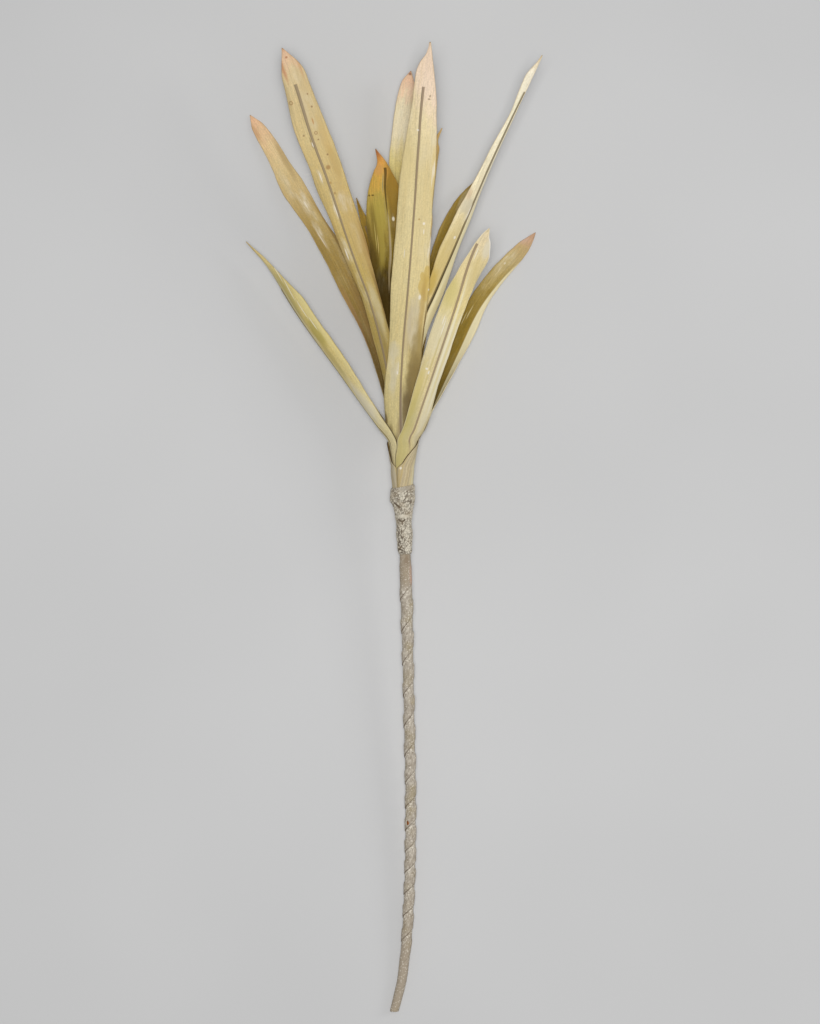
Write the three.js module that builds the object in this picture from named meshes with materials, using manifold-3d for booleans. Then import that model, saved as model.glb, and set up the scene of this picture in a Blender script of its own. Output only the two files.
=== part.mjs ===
// A dried pineapple leaf stem, cut and laid on its back on a flat surface.
// Twelve leaves stand in one sheath, a binding holds the sheath, and tape is wound down the stem.
// Millimetres, +Z up, the leaf tips towards +Y. The origin is under the middle of the whole box.
import * as THREE from "three";
import { mergeVertices } from "three/addons/utils/BufferGeometryUtils.js";
import Module from "manifold-3d";

// Clearance between pieces that touch
const GAP = 0.3;

// Leaves: blade thickness, and the midrib that stands out on the outer face
const BLADE_THICKNESS = 0.8;
const ROOT_THICKNESS = 0.7;
const MIDRIB_HALF_WIDTH = 1.2;
const MIDRIB_WIDEST_SHARE = 0.6;
const MIDRIB_HEIGHT = 0.6;

// Rows of faces along a leaf, and how far they crowd towards both ends
const LEAF_ROWS = 20;
const SECTION_EASE = 0.6;

// The margins wave gently: height, length along the leaf, how each leaf's wave is shifted from the last, and the
// half width from which a blade waves in full
const WAVE_HEIGHT = 1.0;
const WAVE_LENGTH = 105;
const WAVE_SHIFT = 2.4;
const WAVE_HALF_WIDTH = 12;

// Distances from the tip between which the midrib rises
const MIDRIB_RISE = [32, 40];

// Distances from the foot between which a leaf changes: the blade thins to its root, the midrib and the wave
// die out, and the cross-sections turn from square to the leaf to square to the stem
const ROOT_FADE = [100, 40];
const MIDRIB_FADE = [80, 45];
const WAVE_FADE = [130, 70];
const SQUARE_FADE = [95, 62];

// The sheath round the leaf bases as y, radius, degrees its middle looks, degrees each half reaches round, and how
// far it has moved right from the middle of the stem. It is closed but for a seam up to y 68, opens in a V above,
// and turns into the open channel of its own leaf.
const SHEATH = [
  [34, 9.3, 300, 178, 0],
  [50, 10.1, 300, 178, 0],
  [68, 11.4, 300, 178, 0],
  [74, 12.2, 299, 152, 0],
  [80, 13.2, 295, 139, 0],
  [86, 14.2, 290, 122, 0],
  [92, 15.4, 285, 100, 0],
  [98, 16.0, 302, 76, 1.0],
  [104, 16.5, 319, 58, 3.4],
  [110, 17.0, 322, 56, 6.7],
];

// Where the cross-sections of the sheath's own leaf stand, from its tip, close together at the mouth
const SHEATH_SECTIONS = [
  0, 5, 12, 22, 36, 54, 76, 100, 125, 150, 174, 196, 214, 226, 234, 239, 243.5, 248, 252, 256, 260, 264.5, 269,
  274, 280, 297,
];

// Leaf bases nest in four layers, the outermost first: share of the way from the stem to the sheath
const LAYER_SHARE = [0.75, 0.54, 0.34, 0.14];
const NESTED_TO = 92;

// Middle line of the stem as y, x, z, from the cut end to the sheath
const STEM_LINE = [
  [-481, 2, 3.7],
  [-449, 9.8, 4.5],
  [-400, 15.2, 7.2],
  [-364, 17, 9.2],
  [-328, 18.2, 11.4],
  [-266, 18.6, 15],
  [-185, 17.2, 19.8],
  [-105, 15.5, 24.6],
  [-24, 13.3, 29.4],
  [26, 11.5, 32.6],
  [49, 10.6, 34.3],
  [95, 10.6, 37.5],
];

// Sides of everything round, and the steps along the stem
const ROUND_SIDES = 16;
const STEM_STEP = 40;

// Stem under the tape as y, radius, the extra ring where it bends above the tape, and how far its ends dome out
const ROD_RADIUS = [
  [-480, 2.8],
  [-400, 3.7],
  [-100, 4.0],
  [58, 4.0],
];
const ROD_BEND = 44;
const ROD_DOMES = { foot: 0.4, top: 2 };

// Tape wound round the stem: radius of one layer as y, radius, and height of the turn's y as turn, y
const TAPE_ENDS = [-481, 29];
const TAPE_RADIUS = [
  [-481, 4.3],
  [-452, 4.8],
  [-400, 5.0],
  [-250, 5.1],
  [-150, 5.2],
  [-70, 5.8],
  [-32, 6.1],
  [-21, 5.5],
  [29, 5.5],
];
const TAPE_TURNS = [
  [-5, -565],
  [0, -411],
  [7, -250],
  [14.5, -18],
  [20, 150],
];
// Height of the step at a tape edge as y, height
const TAPE_STEP = [
  [-481, 0.15],
  [-425, 0.3],
  [-400, 0.9],
  [-60, 1.0],
  [-36, 0.5],
  [-24, 0],
  [29, 0],
];
// One turn's profile: millimetres above the edge, and the share of the step that stands there
const TAPE_PROFILE = [
  [0, 0],
  [0.7, 1],
  [10, 0.85],
  [15, 0],
];
const TAPE_TEAR = { y: -289, degrees: 122, width: 3, length: 5, depth: 2, lifted: 0.4 };

// Binding round the foot of the sheath as y, radius
const BINDING_OUTSIDE = [
  [-18, 6.9],
  [-14, 7.4],
  [-6, 7.6],
  [3, 8.3],
  [9, 7.7],
  [13, 7.3],
  [20, 8.2],
  [26, 9.3],
  [32, 11.2],
  [38, 12.2],
  [46, 12.1],
  [50, 11.8],
];
const BINDING_KNOB = { y: 41, degrees: 185, height: 0.9, reach: 9, spread: 40 };
const BINDING_STEP = 3.4;
const BINDING_TAPE_STEP = 5;
const BINDING_TAPE_GAP = 0.5;

// The binding's top rim tilts: how much higher it stands on the right at this distance from the middle
const RIM_TILT = 2.2;
const RIM_REACH = 12;

const COLOUR = {
  leaf: 0xc9b878,
  shadedLeaf: 0x9c8644,
  sheath: 0xcdbd92,
  binding: 0xb3a68f,
  tape: 0xa59885,
  stem: 0xb4713a,
};

// Each leaf from its tip down. midrib holds x, y, z. blade holds the distance from the tip, the width on the
// left and on the right of the midrib with the outer face towards the eye, the way that face looks
// (0 right, 90 up, 180 left, 270 down) and how far each half curls, in degrees.
// base holds the nesting layer, the angle round the stem and how far each half reaches round it.
const LEAVES = [
  {
    name: "leaf_front_centre",
    halves: 4,
    base: { layer: 1, degrees: 98, halfDegrees: 55 },
    midrib: [
      [38, 481.5, 121],
      [32.5, 440, 113],
      [27, 390, 103],
      [22, 318, 88],
      [16, 243, 72],
      [10.5, 179, 59],
      [8.5, 130, 51],
    ],
    blade: [
      [0, 0.4, 0.4, 92, 8],
      [11, 2.2, 4.5, 92, 10],
      [21, 7.4, 7.2, 92, 12],
      [31, 9.8, 9.8, 92, 14],
      [60, 10.2, 15.5, 93, 18],
      [90, 12.8, 18.6, 94, 22],
      [125, 16.2, 18.6, 95, 24],
      [175, 18.3, 19.6, 95, 25],
      [245, 17.8, 21.3, 95, 26],
      [310, 15, 20, 96, 30],
      [355, 15, 17, 97, 38],
    ],
  },
  {
    name: "leaf_front_left",
    halves: 3,
    base: { layer: 2, degrees: 125, halfDegrees: 38 },
    midrib: [
      [-107.8, 480, 92],
      [-95.2, 446, 87],
      [-79.7, 396, 80],
      [-63, 351, 73],
      [-46.5, 302, 65],
      [-33.7, 266, 59.5],
      [-20.8, 231, 54],
      [-6, 171, 46.5],
      [2.5, 112, 42.5],
    ],
    blade: [
      [0, 0.4, 0.4, 92, 8],
      [7, 3.0, 4.4, 92, 10],
      [17, 7.2, 10, 93, 12],
      [27, 10.6, 13.3, 94, 14],
      [47, 13, 14.6, 95, 18],
      [79, 14.6, 17.2, 96, 20],
      [111, 13.4, 21, 98, 22],
      [143, 15, 19, 100, 24],
      [199, 10.8, 17.3, 106, 27],
      [231, 9.6, 16.6, 110, 30],
      [262, 9, 14.5, 112, 32],
      [320, 8, 11, 116, 36],
    ],
  },
  {
    name: "leaf_front_right",
    halves: 3,
    base: { layer: 2, degrees: 44, halfDegrees: 38 },
    midrib: [
      [148, 473, 92],
      [136, 449, 88.5],
      [119.5, 415, 83.5],
      [94.5, 362, 76],
      [65.5, 294.5, 66],
      [44, 245, 58],
      [30, 185, 49],
      [21.5, 122, 43],
    ],
    blade: [
      [0, 0.4, 0.4, 50, 8],
      [8, 1.6, 1.2, 50, 10],
      [15, 3.4, 2, 48, 12],
      [27, 5.6, 2, 45, 16],
      [40, 6, 3.4, 40, 20],
      [65, 4.4, 4.6, 36, 24],
      [98, 6.6, 6.4, 34, 26],
      [124, 8.4, 7.4, 32, 28],
      [153, 13, 8.6, 30, 30],
      [180, 17.4, 11, 30, 30],
      [220, 19, 14, 30, 30],
      [290, 15, 12, 34, 34],
    ],
  },
  {
    name: "leaf_lower_front_right",
    halves: 4,
    base: { layer: 0, degrees: 69, halfDegrees: 53 },
    midrib: [
      [95, 299, 133],
      [87.7, 292, 129.5],
      [77.4, 271.5, 119.5],
      [64, 229.5, 102.5],
      [44.6, 172, 81],
      [26.8, 120, 61.5],
    ],
    blade: [
      [0, 0.4, 0.4, 84, 8],
      [10, 0.9, 9.2, 84, 12],
      [21, 2.2, 14.6, 84, 16],
      [35, 4.6, 17.6, 82, 20],
      [56, 9.2, 16, 80, 24],
      [82, 14.6, 12.6, 77, 26],
      [115, 15.4, 10.6, 75, 28],
      [150, 14.8, 10.6, 74, 30],
      [180, 13.6, 11, 74, 33],
      [215, 11.4, 11.4, 74, 42],
    ],
  },
  {
    name: "leaf_left_narrow",
    halves: 3,
    base: { layer: 0, degrees: 153, halfDegrees: 26 },
    midrib: [
      [-147, 296, 24],
      [-127, 274, 25],
      [-93, 220.5, 28],
      [-49.5, 159.5, 33],
      [-15.5, 112, 38.5],
    ],
    blade: [
      [0, 0.4, 0.4, 165, 10],
      [14, 1.2, 1.2, 172, 25],
      [32, 5, 5, 186, 44],
      [55, 11, 11, 192, 56],
      [85, 16, 16, 195, 64],
      [125, 18.6, 18.6, 195, 68],
      [165, 17.6, 17.6, 192, 66],
      [205, 13.5, 13.5, 184, 58],
      [228, 10, 10, 170, 48],
    ],
  },
  {
    name: "leaf_inner_front",
    halves: 4,
    base: { layer: 3, degrees: 90, halfDegrees: 46 },
    midrib: [
      [-16.2, 384.5, 62],
      [-6.8, 366, 60],
      [-4.5, 338, 57],
      [-1, 307, 53],
      [1, 282, 51],
      [-0.5, 235, 47],
      [1.5, 196, 43.5],
      [6, 130, 41.5],
    ],
    blade: [
      [0, 0.4, 0.4, 92, 8],
      [8, 3.2, 4, 92, 12],
      [21, 11, 6.5, 92, 18],
      [34, 15, 12, 92, 22],
      [52, 20.5, 16, 92, 26],
      [76, 25, 18, 92, 28],
      [100, 25.5, 18.5, 92, 30],
      [140, 22, 17, 92, 32],
      [190, 16, 14, 92, 36],
      [250, 9, 9, 91, 44],
    ],
  },
  {
    name: "leaf_back_left",
    halves: 3,
    base: { layer: 0, degrees: 216, halfDegrees: 32 },
    midrib: [
      [-144, 426, 1.4],
      [-124.7, 395.5, 1.0],
      [-99.5, 350, 1.6],
      [-70.5, 305, 4],
      [-50.5, 268.5, 8],
      [-20, 197, 18],
      [-3.5, 138, 25],
      [0.5, 106, 29.5],
    ],
    blade: [
      [0, 0.4, 0.4, 262, 8],
      [6, 3, 3, 262, 10],
      [14, 6.3, 6.3, 262, 12],
      [34, 8.6, 8.6, 262, 16],
      [60, 10, 9.8, 260, 20],
      [87, 12.6, 12.4, 258, 22],
      [115, 11.6, 11.6, 256, 24],
      [150, 12.4, 12, 254, 26],
      [220, 11.5, 11, 248, 28],
      [290, 9, 9, 236, 34],
    ],
  },
  {
    name: "leaf_back_centre",
    halves: 3,
    base: { layer: 2, degrees: 270, halfDegrees: 40 },
    midrib: [
      [18.8, 467.5, 23],
      [12, 409, 19],
      [9, 348, 17],
      [10, 268, 18],
      [12, 187, 26],
      [11, 125, 30.5],
    ],
    blade: [
      [0, 0.4, 0.4, 270, 8],
      [12, 5.5, 8, 270, 12],
      [24, 9.5, 10.2, 270, 16],
      [60, 12, 11.8, 270, 20],
      [95, 12.5, 13.5, 270, 22],
      [200, 13, 13, 270, 26],
      [280, 11, 11, 270, 30],
      [335, 7.5, 7.5, 270, 36],
    ],
  },
  {
    name: "leaf_inner_left",
    halves: 3,
    base: { layer: 3, degrees: 172, halfDegrees: 20 },
    midrib: [
      [-35.8, 339.5, 27],
      [-18.2, 282, 28],
      [-9, 227, 30],
      [-1, 176.5, 32],
      [4, 120, 35.5],
    ],
    blade: [
      [0, 0.4, 0.4, 110, 8],
      [14, 2.4, 2.4, 110, 14],
      [30, 5, 5, 112, 20],
      [65, 8, 8, 116, 26],
      [125, 8.5, 8.5, 124, 28],
      [190, 5.5, 5.5, 140, 28],
      [230, 3, 3, 155, 28],
    ],
  },
  {
    name: "leaf_inner_right",
    halves: 3,
    base: { layer: 3, degrees: 10, halfDegrees: 22 },
    midrib: [
      [50, 407, 48],
      [41.5, 387.5, 46.5],
      [34.5, 345.5, 43],
      [27, 276, 38.5],
      [21.5, 196, 36],
      [18, 125, 36.5],
    ],
    blade: [
      [0, 0.4, 0.4, 80, 8],
      [12, 2.4, 1.6, 80, 12],
      [22, 6, 6.6, 78, 16],
      [60, 8.5, 8.5, 74, 22],
      [130, 9, 9, 66, 26],
      [210, 7, 7, 50, 28],
      [285, 3.4, 3.4, 24, 28],
    ],
  },
  {
    name: "leaf_back_right",
    halves: 3,
    base: { layer: 0, degrees: 320, halfDegrees: 35 },
    midrib: [
      [81.7, 356.5, 8],
      [57.4, 303.5, 13],
      [40, 247.5, 19.5],
      [28.5, 187, 25.5],
      [21, 125, 30],
    ],
    blade: [
      [0, 0.4, 0.4, 284, 8],
      [10, 4.6, 4.6, 284, 12],
      [28, 9, 9, 284, 18],
      [60, 11.4, 11.4, 285, 22],
      [115, 10.8, 10.8, 288, 26],
      [175, 9, 9, 294, 30],
      [240, 7, 7, 308, 36],
    ],
  },
  {
    name: "leaf_sheath_right",
    halves: 10,
    midrib: [
      [145, 307, 1.5],
      [134, 290, 2],
      [108.5, 260, 3.4],
      [87, 228, 7.5],
      [67.5, 188, 12.5],
      [47.5, 149, 18.5],
      [36.5, 127, 23.5],
    ],
    blade: [
      [0, 0.4, 0.4, 285, 10],
      [8, 2.5, 3.5, 288, 18],
      [20, 5, 9, 295, 28],
      [44, 8.5, 11.5, 304, 40],
      [72, 12, 13, 310, 50],
      [110, 14.5, 15, 314, 56],
      [150, 16.5, 17, 316, 60],
      [184, 17.5, 17.5, 320, 58],
    ],
  },
];

const radians = THREE.MathUtils.degToRad;

// A value read from rows that start with how far along they are. It passes through every row, and it has
// no bump that the rows lack.
function smooth(rows, at, column = 1) {
  const last = rows.length - 1;
  const rise = (i) => (rows[i + 1][column] - rows[i][column]) / (rows[i + 1][0] - rows[i][0]);
  const slope = (i) => {
    if (i === 0) return rise(0);
    if (i === last) return rise(last - 1);
    const before = rise(i - 1);
    const after = rise(i);
    return before * after <= 0 ? 0 : (2 * before * after) / (before + after);
  };
  let i = 0;
  while (i < last - 1 && at > rows[i + 1][0]) i += 1;
  const span = rows[i + 1][0] - rows[i][0];
  const t = THREE.MathUtils.clamp((at - rows[i][0]) / span, 0, 1);
  const away = 1 - t;
  return (
    rows[i][column] * (1 + 2 * t) * away * away +
    slope(i) * span * t * away * away +
    rows[i + 1][column] * (3 - 2 * t) * t * t -
    slope(i + 1) * span * t * t * away
  );
}

// Directions across a line that runs along: to the right, and up as far as the line allows
function crossings(tangent) {
  const right = new THREE.Vector3().crossVectors(tangent, new THREE.Vector3(0, 0, 1)).normalize();
  const up = new THREE.Vector3().crossVectors(right, tangent);
  return { right, up };
}

// The direction at an angle round such a line: 0 right, 90 up, 180 left, 270 down
function around({ right, up }, angle) {
  return right.clone().multiplyScalar(Math.cos(angle)).addScaledVector(up, Math.sin(angle));
}

function stemCentre(y) {
  return new THREE.Vector3(smooth(STEM_LINE, y, 1), y, smooth(STEM_LINE, y, 2));
}

function stemTangent(y) {
  return stemCentre(y + 1).sub(stemCentre(y - 1)).normalize();
}

// A point at an angle and a distance from the middle of the stem
function roundStem(y, angle, radius) {
  return stemCentre(y).addScaledVector(around(crossings(stemTangent(y)), angle), radius);
}

// Gathers points and faces into a closed mesh, and leaves out the faces that shrink to a line
class Solid {
  constructor() {
    this.points = [];
    this.faces = [];
  }

  add(point) {
    return this.points.push(point) - 1;
  }

  quad(a, b, c, d) {
    this.faces.push([a, b, c], [a, c, d]);
  }

  // Quads between two lines of points that run side by side
  strip(first, second) {
    for (let i = 0; i + 1 < first.length; i += 1) {
      this.quad(first[i], first[i + 1], second[i + 1], second[i]);
    }
  }

  // One row of a thin sheet. Both faces split along the shorter diagonal of the outer one, so they never cross.
  sheet(outerFirst, outerSecond, innerFirst, innerSecond) {
    const apart = (a, b) => this.points[a].distanceTo(this.points[b]);
    for (let i = 0; i + 1 < outerFirst.length; i += 1) {
      const outer = [outerFirst[i], outerFirst[i + 1], outerSecond[i + 1], outerSecond[i]];
      const inner = [innerFirst[i], innerFirst[i + 1], innerSecond[i + 1], innerSecond[i]];
      const shift = apart(outer[0], outer[2]) <= apart(outer[1], outer[3]) ? 0 : 1;
      const [a, b, c, d] = [0, 1, 2, 3].map((corner) => (corner + shift) % 4);
      this.quad(outer[a], outer[b], outer[c], outer[d]);
      this.quad(inner[a], inner[d], inner[c], inner[b]);
    }
  }

  geometry() {
    const loose = new THREE.BufferGeometry().setFromPoints(this.points);
    loose.setIndex(this.faces.flat());
    const merged = mergeVertices(loose, 1e-3);
    const corners = merged.index.array;
    const kept = [];
    for (let i = 0; i < corners.length; i += 3) {
      const [a, b, c] = corners.slice(i, i + 3);
      if (a !== b && b !== c && c !== a) kept.push(a, b, c);
    }
    return merged.setIndex(kept);
  }
}

// The nested base of a leaf, from the mouth of the sheath down, in the same rows as the sheath
function nestedBase(leaf) {
  const rows = leaf.base
    ? SHEATH.filter(([y]) => y <= NESTED_TO).map(([y, radius]) => {
        const stem = smooth(ROD_RADIUS, y);
        const nested = stem + (radius - stem) * LAYER_SHARE[leaf.base.layer];
        return [y, nested, leaf.base.degrees, leaf.base.halfDegrees, 0];
      })
    : [...SHEATH];
  return rows.reverse();
}

// Adds the nested base to a leaf's rows and counts how far each row is from the tip
function withBase(leaf) {
  const nested = nestedBase(leaf);
  const line = leaf.midrib.map((place) => new THREE.Vector3(...place));
  nested.forEach(([y, radius, looks, , moved]) => {
    const point = roundStem(y, radians(looks), radius);
    line.push(point.setX(point.x + moved));
  });
  let distance = 0;
  const places = line.map((point, i) => {
    if (i > 0) distance += point.distanceTo(line[i - 1]);
    return [distance, ...point.toArray()];
  });
  const base = nested.map(([, radius, looks, reach], i) => {
    const halfWidth = radius * radians(reach);
    return [places[leaf.midrib.length + i][0], halfWidth, halfWidth, looks, reach];
  });
  return { places, blade: [...leaf.blade, ...base], length: distance };
}

// Distances from the tip at which a leaf's cross-sections stand
function sectionsOf(leaf, length) {
  if (!leaf.base) return [...SHEATH_SECTIONS, length];
  return evenSteps(0, 1, 1 / LEAF_ROWS).map((even) => {
    const eased = THREE.MathUtils.smoothstep(even, 0, 1);
    return length * THREE.MathUtils.lerp(even, eased, SECTION_EASE);
  });
}

// One cross-section of a leaf as pairs of points, one on the outer face and one on the inner
function leafSection(leaf, order, from, { places, blade, length }) {
  const place = (at) => new THREE.Vector3(...[1, 2, 3].map((column) => smooth(places, at, column)));
  const faded = ([start, end]) => THREE.MathUtils.smoothstep(from, length - start, length - end);
  const alongLeaf = place(from - 1).sub(place(from + 1)).normalize();
  const normal = alongLeaf.lerp(stemTangent(place(from).y), faded(SQUARE_FADE)).normalize();
  const across = crossings(normal);
  const [left, right, facing, curl] = [1, 2, 3, 4].map((column) => smooth(blade, from, column));
  const radius = (left + right) / 2 / radians(curl);
  const centre = place(from).addScaledVector(around(across, radians(facing)), -radius);
  const halfThickness = THREE.MathUtils.lerp(BLADE_THICKNESS, ROOT_THICKNESS, faded(ROOT_FADE)) / 2;
  const ridge = MIDRIB_HEIGHT * THREE.MathUtils.smoothstep(from, ...MIDRIB_RISE) * (1 - faded(MIDRIB_FADE));
  const phase = (2 * Math.PI * from) / WAVE_LENGTH + order * WAVE_SHIFT;
  const wave = WAVE_HEIGHT * Math.sin(phase) * (1 - faded(WAVE_FADE));
  return Array.from({ length: 2 * leaf.halves + 1 }, (_, i) => {
    const j = i - leaf.halves;
    const halfWidth = j < 0 ? left : right;
    const ribSide = Math.min(MIDRIB_HALF_WIDTH / halfWidth, MIDRIB_WIDEST_SHARE / leaf.halves);
    const side = Math.abs(j) === 1 ? j * ribSide : j / leaf.halves;
    const outward = around(across, radians(facing) - (side * halfWidth) / radius);
    const lift = radius + wave * side * side * Math.min(1, halfWidth / WAVE_HALF_WIDTH);
    const outside = centre.clone().addScaledVector(outward, lift + halfThickness + (j === 0 ? ridge : 0));
    const inside = centre.clone().addScaledVector(outward, lift - halfThickness);
    // What would lie below the surface is pressed up onto it
    const under = Math.max(0, -Math.min(outside.z, inside.z));
    outside.z += under;
    inside.z += under;
    return [outside, inside];
  });
}

// The leaf as one closed sheet: an outer face with the midrib ridge, an inner face and a thin edge
function leafGeometry(leaf, order) {
  const shape = withBase(leaf);
  const solid = new Solid();
  const sections = sectionsOf(leaf, shape.length).map((from) => {
    const pairs = leafSection(leaf, order, from, shape);
    return pairs.map(([outside, inside]) => [solid.add(outside), solid.add(inside)]);
  });
  const outer = sections.map((pairs) => pairs.map(([outside]) => outside));
  const inner = sections.map((pairs) => pairs.map(([, inside]) => inside));
  const foot = sections.length - 1;
  const end = 2 * leaf.halves;
  for (let i = 0; i < foot; i += 1) {
    const next = i + 1;
    solid.sheet(outer[next], outer[i], inner[next], inner[i]);
    solid.quad(outer[next][0], outer[i][0], inner[i][0], inner[next][0]);
    solid.quad(outer[i][end], outer[next][end], inner[next][end], inner[i][end]);
  }
  solid.strip(outer[0], inner[0]);
  solid.strip(inner[foot], outer[foot]);
  return solid.geometry();
}

// A closed tube between outer and inner rings of points, with flat rims
function tubeGeometry(outerRings, innerRings) {
  const solid = new Solid();
  const index = (ring) => {
    const corners = ring.map((point) => solid.add(point));
    return [...corners, corners[0]];
  };
  const outer = outerRings.map(index);
  const inner = innerRings.map(index);
  for (let i = 0; i + 1 < outer.length; i += 1) solid.strip(outer[i], outer[i + 1]);
  for (let i = 0; i + 1 < inner.length; i += 1) solid.strip(inner[i + 1], inner[i]);
  solid.strip(inner[0], outer[0]);
  solid.strip(outer[outer.length - 1], inner[inner.length - 1]);
  return solid.geometry();
}

function ringRound(y, radiusAt) {
  return Array.from({ length: ROUND_SIDES }, (_, k) => {
    const angle = (-2 * Math.PI * k) / ROUND_SIDES;
    return roundStem(y, angle, radiusAt(angle));
  });
}

function evenSteps(from, to, step) {
  const count = Math.round((to - from) / step);
  return Array.from({ length: count + 1 }, (_, i) => from + ((to - from) * i) / count);
}

// The stem itself, with both ends domed
function rodGeometry() {
  const [from, to] = [ROD_RADIUS[0][0], ROD_RADIUS[ROD_RADIUS.length - 1][0]];
  const solid = new Solid();
  const stations = [from, ...evenSteps(...TAPE_ENDS, STEM_STEP).slice(1), ROD_BEND, to];
  const rings = stations.map((y) => {
    const corners = ringRound(y, () => smooth(ROD_RADIUS, y)).map((point) => solid.add(point));
    return [...corners, corners[0]];
  });
  for (let i = 0; i + 1 < rings.length; i += 1) solid.strip(rings[i], rings[i + 1]);
  const foot = solid.add(stemCentre(from - ROD_DOMES.foot));
  const top = solid.add(stemCentre(to + ROD_DOMES.top));
  for (let k = 0; k < ROUND_SIDES; k += 1) {
    solid.faces.push([rings[0][k + 1], rings[0][k], foot]);
    solid.faces.push([rings[rings.length - 1][k], rings[rings.length - 1][k + 1], top]);
  }
  return solid.geometry();
}

// The wound tape: rows of points follow the helix, so each edge stays one crisp line
function tapeGeometry() {
  const [from, to] = TAPE_ENDS;
  const [firstTurn, lastTurn] = [TAPE_TURNS[0][0], TAPE_TURNS[TAPE_TURNS.length - 1][0]];
  const solid = new Solid();
  const column = (k) => {
    const angle = (-2 * Math.PI * k) / ROUND_SIDES;
    const corners = [];
    for (let turn = firstTurn; turn < lastTurn - 1; turn += 1) {
      const edge = smooth(TAPE_TURNS, turn + 0.5 + k / ROUND_SIDES);
      TAPE_PROFILE.forEach(([above, share]) => {
        const y = THREE.MathUtils.clamp(edge + above, from, to);
        const atEnd = y === from || y === to;
        const height = atEnd ? 0 : share * smooth(TAPE_STEP, y);
        const point = roundStem(y, angle, smooth(TAPE_RADIUS, y) + height);
        point.z = Math.max(point.z, 0);
        corners.push(solid.add(point));
      });
    }
    return corners;
  };
  const columns = Array.from({ length: ROUND_SIDES }, (_, k) => column(k));
  // The last column meets the first one a turn further on
  columns.push(columns[0].slice(TAPE_PROFILE.length));
  for (let k = 0; k < ROUND_SIDES; k += 1) {
    const pair = [columns[k], columns[k + 1]];
    const rows = Math.min(pair[0].length, pair[1].length);
    for (let i = 0; i + 1 < rows; i += 1) {
      solid.quad(pair[0][i], pair[1][i], pair[1][i + 1], pair[0][i + 1]);
    }
  }
  const bore = evenSteps(from, to, STEM_STEP).map((y) => {
    const corners = ringRound(y, () => smooth(ROD_RADIUS, y) + GAP);
    const ring = corners.map((point) => solid.add(point));
    return [...ring, ring[0]];
  });
  for (let i = 0; i + 1 < bore.length; i += 1) solid.strip(bore[i + 1], bore[i]);
  const rim = (y) => {
    const ring = ringRound(y, () => smooth(TAPE_RADIUS, y)).map((point) => {
      point.z = Math.max(point.z, 0);
      return solid.add(point);
    });
    return [...ring, ring[0]];
  };
  solid.strip(bore[0], rim(from));
  solid.strip(rim(to), bore[bore.length - 1]);
  return solid.geometry();
}

// The binding: lumpy outside, and inside a seat for the sheath above a narrower one for the tape
function bindingGeometry() {
  const [from, to] = [BINDING_OUTSIDE[0][0], BINDING_OUTSIDE[BINDING_OUTSIDE.length - 1][0]];
  const outside = evenSteps(from, to, BINDING_STEP).map((y) =>
    ringRound(y, (angle) => {
      const turned = radians(BINDING_KNOB.degrees) - angle;
      const away = Math.abs(Math.atan2(Math.sin(turned), Math.cos(turned)));
      const near =
        (1 - THREE.MathUtils.smoothstep(Math.abs(y - BINDING_KNOB.y), 0, BINDING_KNOB.reach)) *
        (1 - THREE.MathUtils.smoothstep(away, 0, radians(BINDING_KNOB.spread)));
      return smooth(BINDING_OUTSIDE, y) + BINDING_KNOB.height * near;
    }),
  );
  const seatFoot = SHEATH[0][0] - GAP;
  const flatToCorner = 1 / Math.cos(Math.PI / ROUND_SIDES);
  const seatRadius = (y) => (smooth(SHEATH, y + RIM_TILT) + ROOT_THICKNESS / 2 + GAP) * flatToCorner;
  const tapeSeat = (y) => smooth(TAPE_RADIUS, y) + smooth(TAPE_STEP, y) + BINDING_TAPE_GAP;
  const inside = [
    ...evenSteps(from, TAPE_ENDS[1], BINDING_TAPE_STEP).map((y) => ringRound(y, () => tapeSeat(y))),
    ...[seatFoot, (seatFoot + to) / 2, to].map((y) => ringRound(y, () => seatRadius(y))),
  ];
  const tilted = (rings) =>
    rings.map((ring, i) => {
      const slope = i < rings.length - 1 ? 0 : RIM_TILT / RIM_REACH;
      return ring.map((point) => point.setY(point.y + slope * (point.x - stemCentre(to).x)));
    });
  return tubeGeometry(tilted(outside), tilted(inside));
}

const wasm = await Module();
wasm.setup();

function toManifold(geometry) {
  const plain = geometry.clone();
  plain.deleteAttribute("normal");
  plain.deleteAttribute("uv");
  const merged = mergeVertices(plain, 1e-4);
  return new wasm.Manifold(
    new wasm.Mesh({
      numProp: 3,
      vertProperties: merged.attributes.position.array,
      triVerts: new Uint32Array(merged.index.array),
    }),
  );
}

function toGeometry(manifold) {
  const mesh = manifold.getMesh();
  return new THREE.BufferGeometry()
    .setAttribute("position", new THREE.BufferAttribute(mesh.vertProperties, 3))
    .setIndex(new THREE.BufferAttribute(mesh.triVerts, 1));
}

// Cuts the small tear through which the stem shows
function tornTape() {
  const { y, degrees, width, length, depth, lifted } = TAPE_TEAR;
  const punch = new THREE.IcosahedronGeometry(1, 1);
  punch.scale(width / 2, length / 2, depth);
  punch.rotateY(radians(90 - degrees));
  const place = roundStem(y, radians(degrees), smooth(TAPE_RADIUS, y) + lifted);
  punch.translate(...place.toArray());
  return toGeometry(toManifold(tapeGeometry()).subtract(toManifold(punch)));
}

function named(name, geometry, colour, roughness) {
  geometry.computeVertexNormals();
  const material = new THREE.MeshStandardMaterial({ color: colour, roughness, metalness: 0 });
  const mesh = new THREE.Mesh(geometry, material);
  mesh.name = name;
  return mesh;
}

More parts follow.
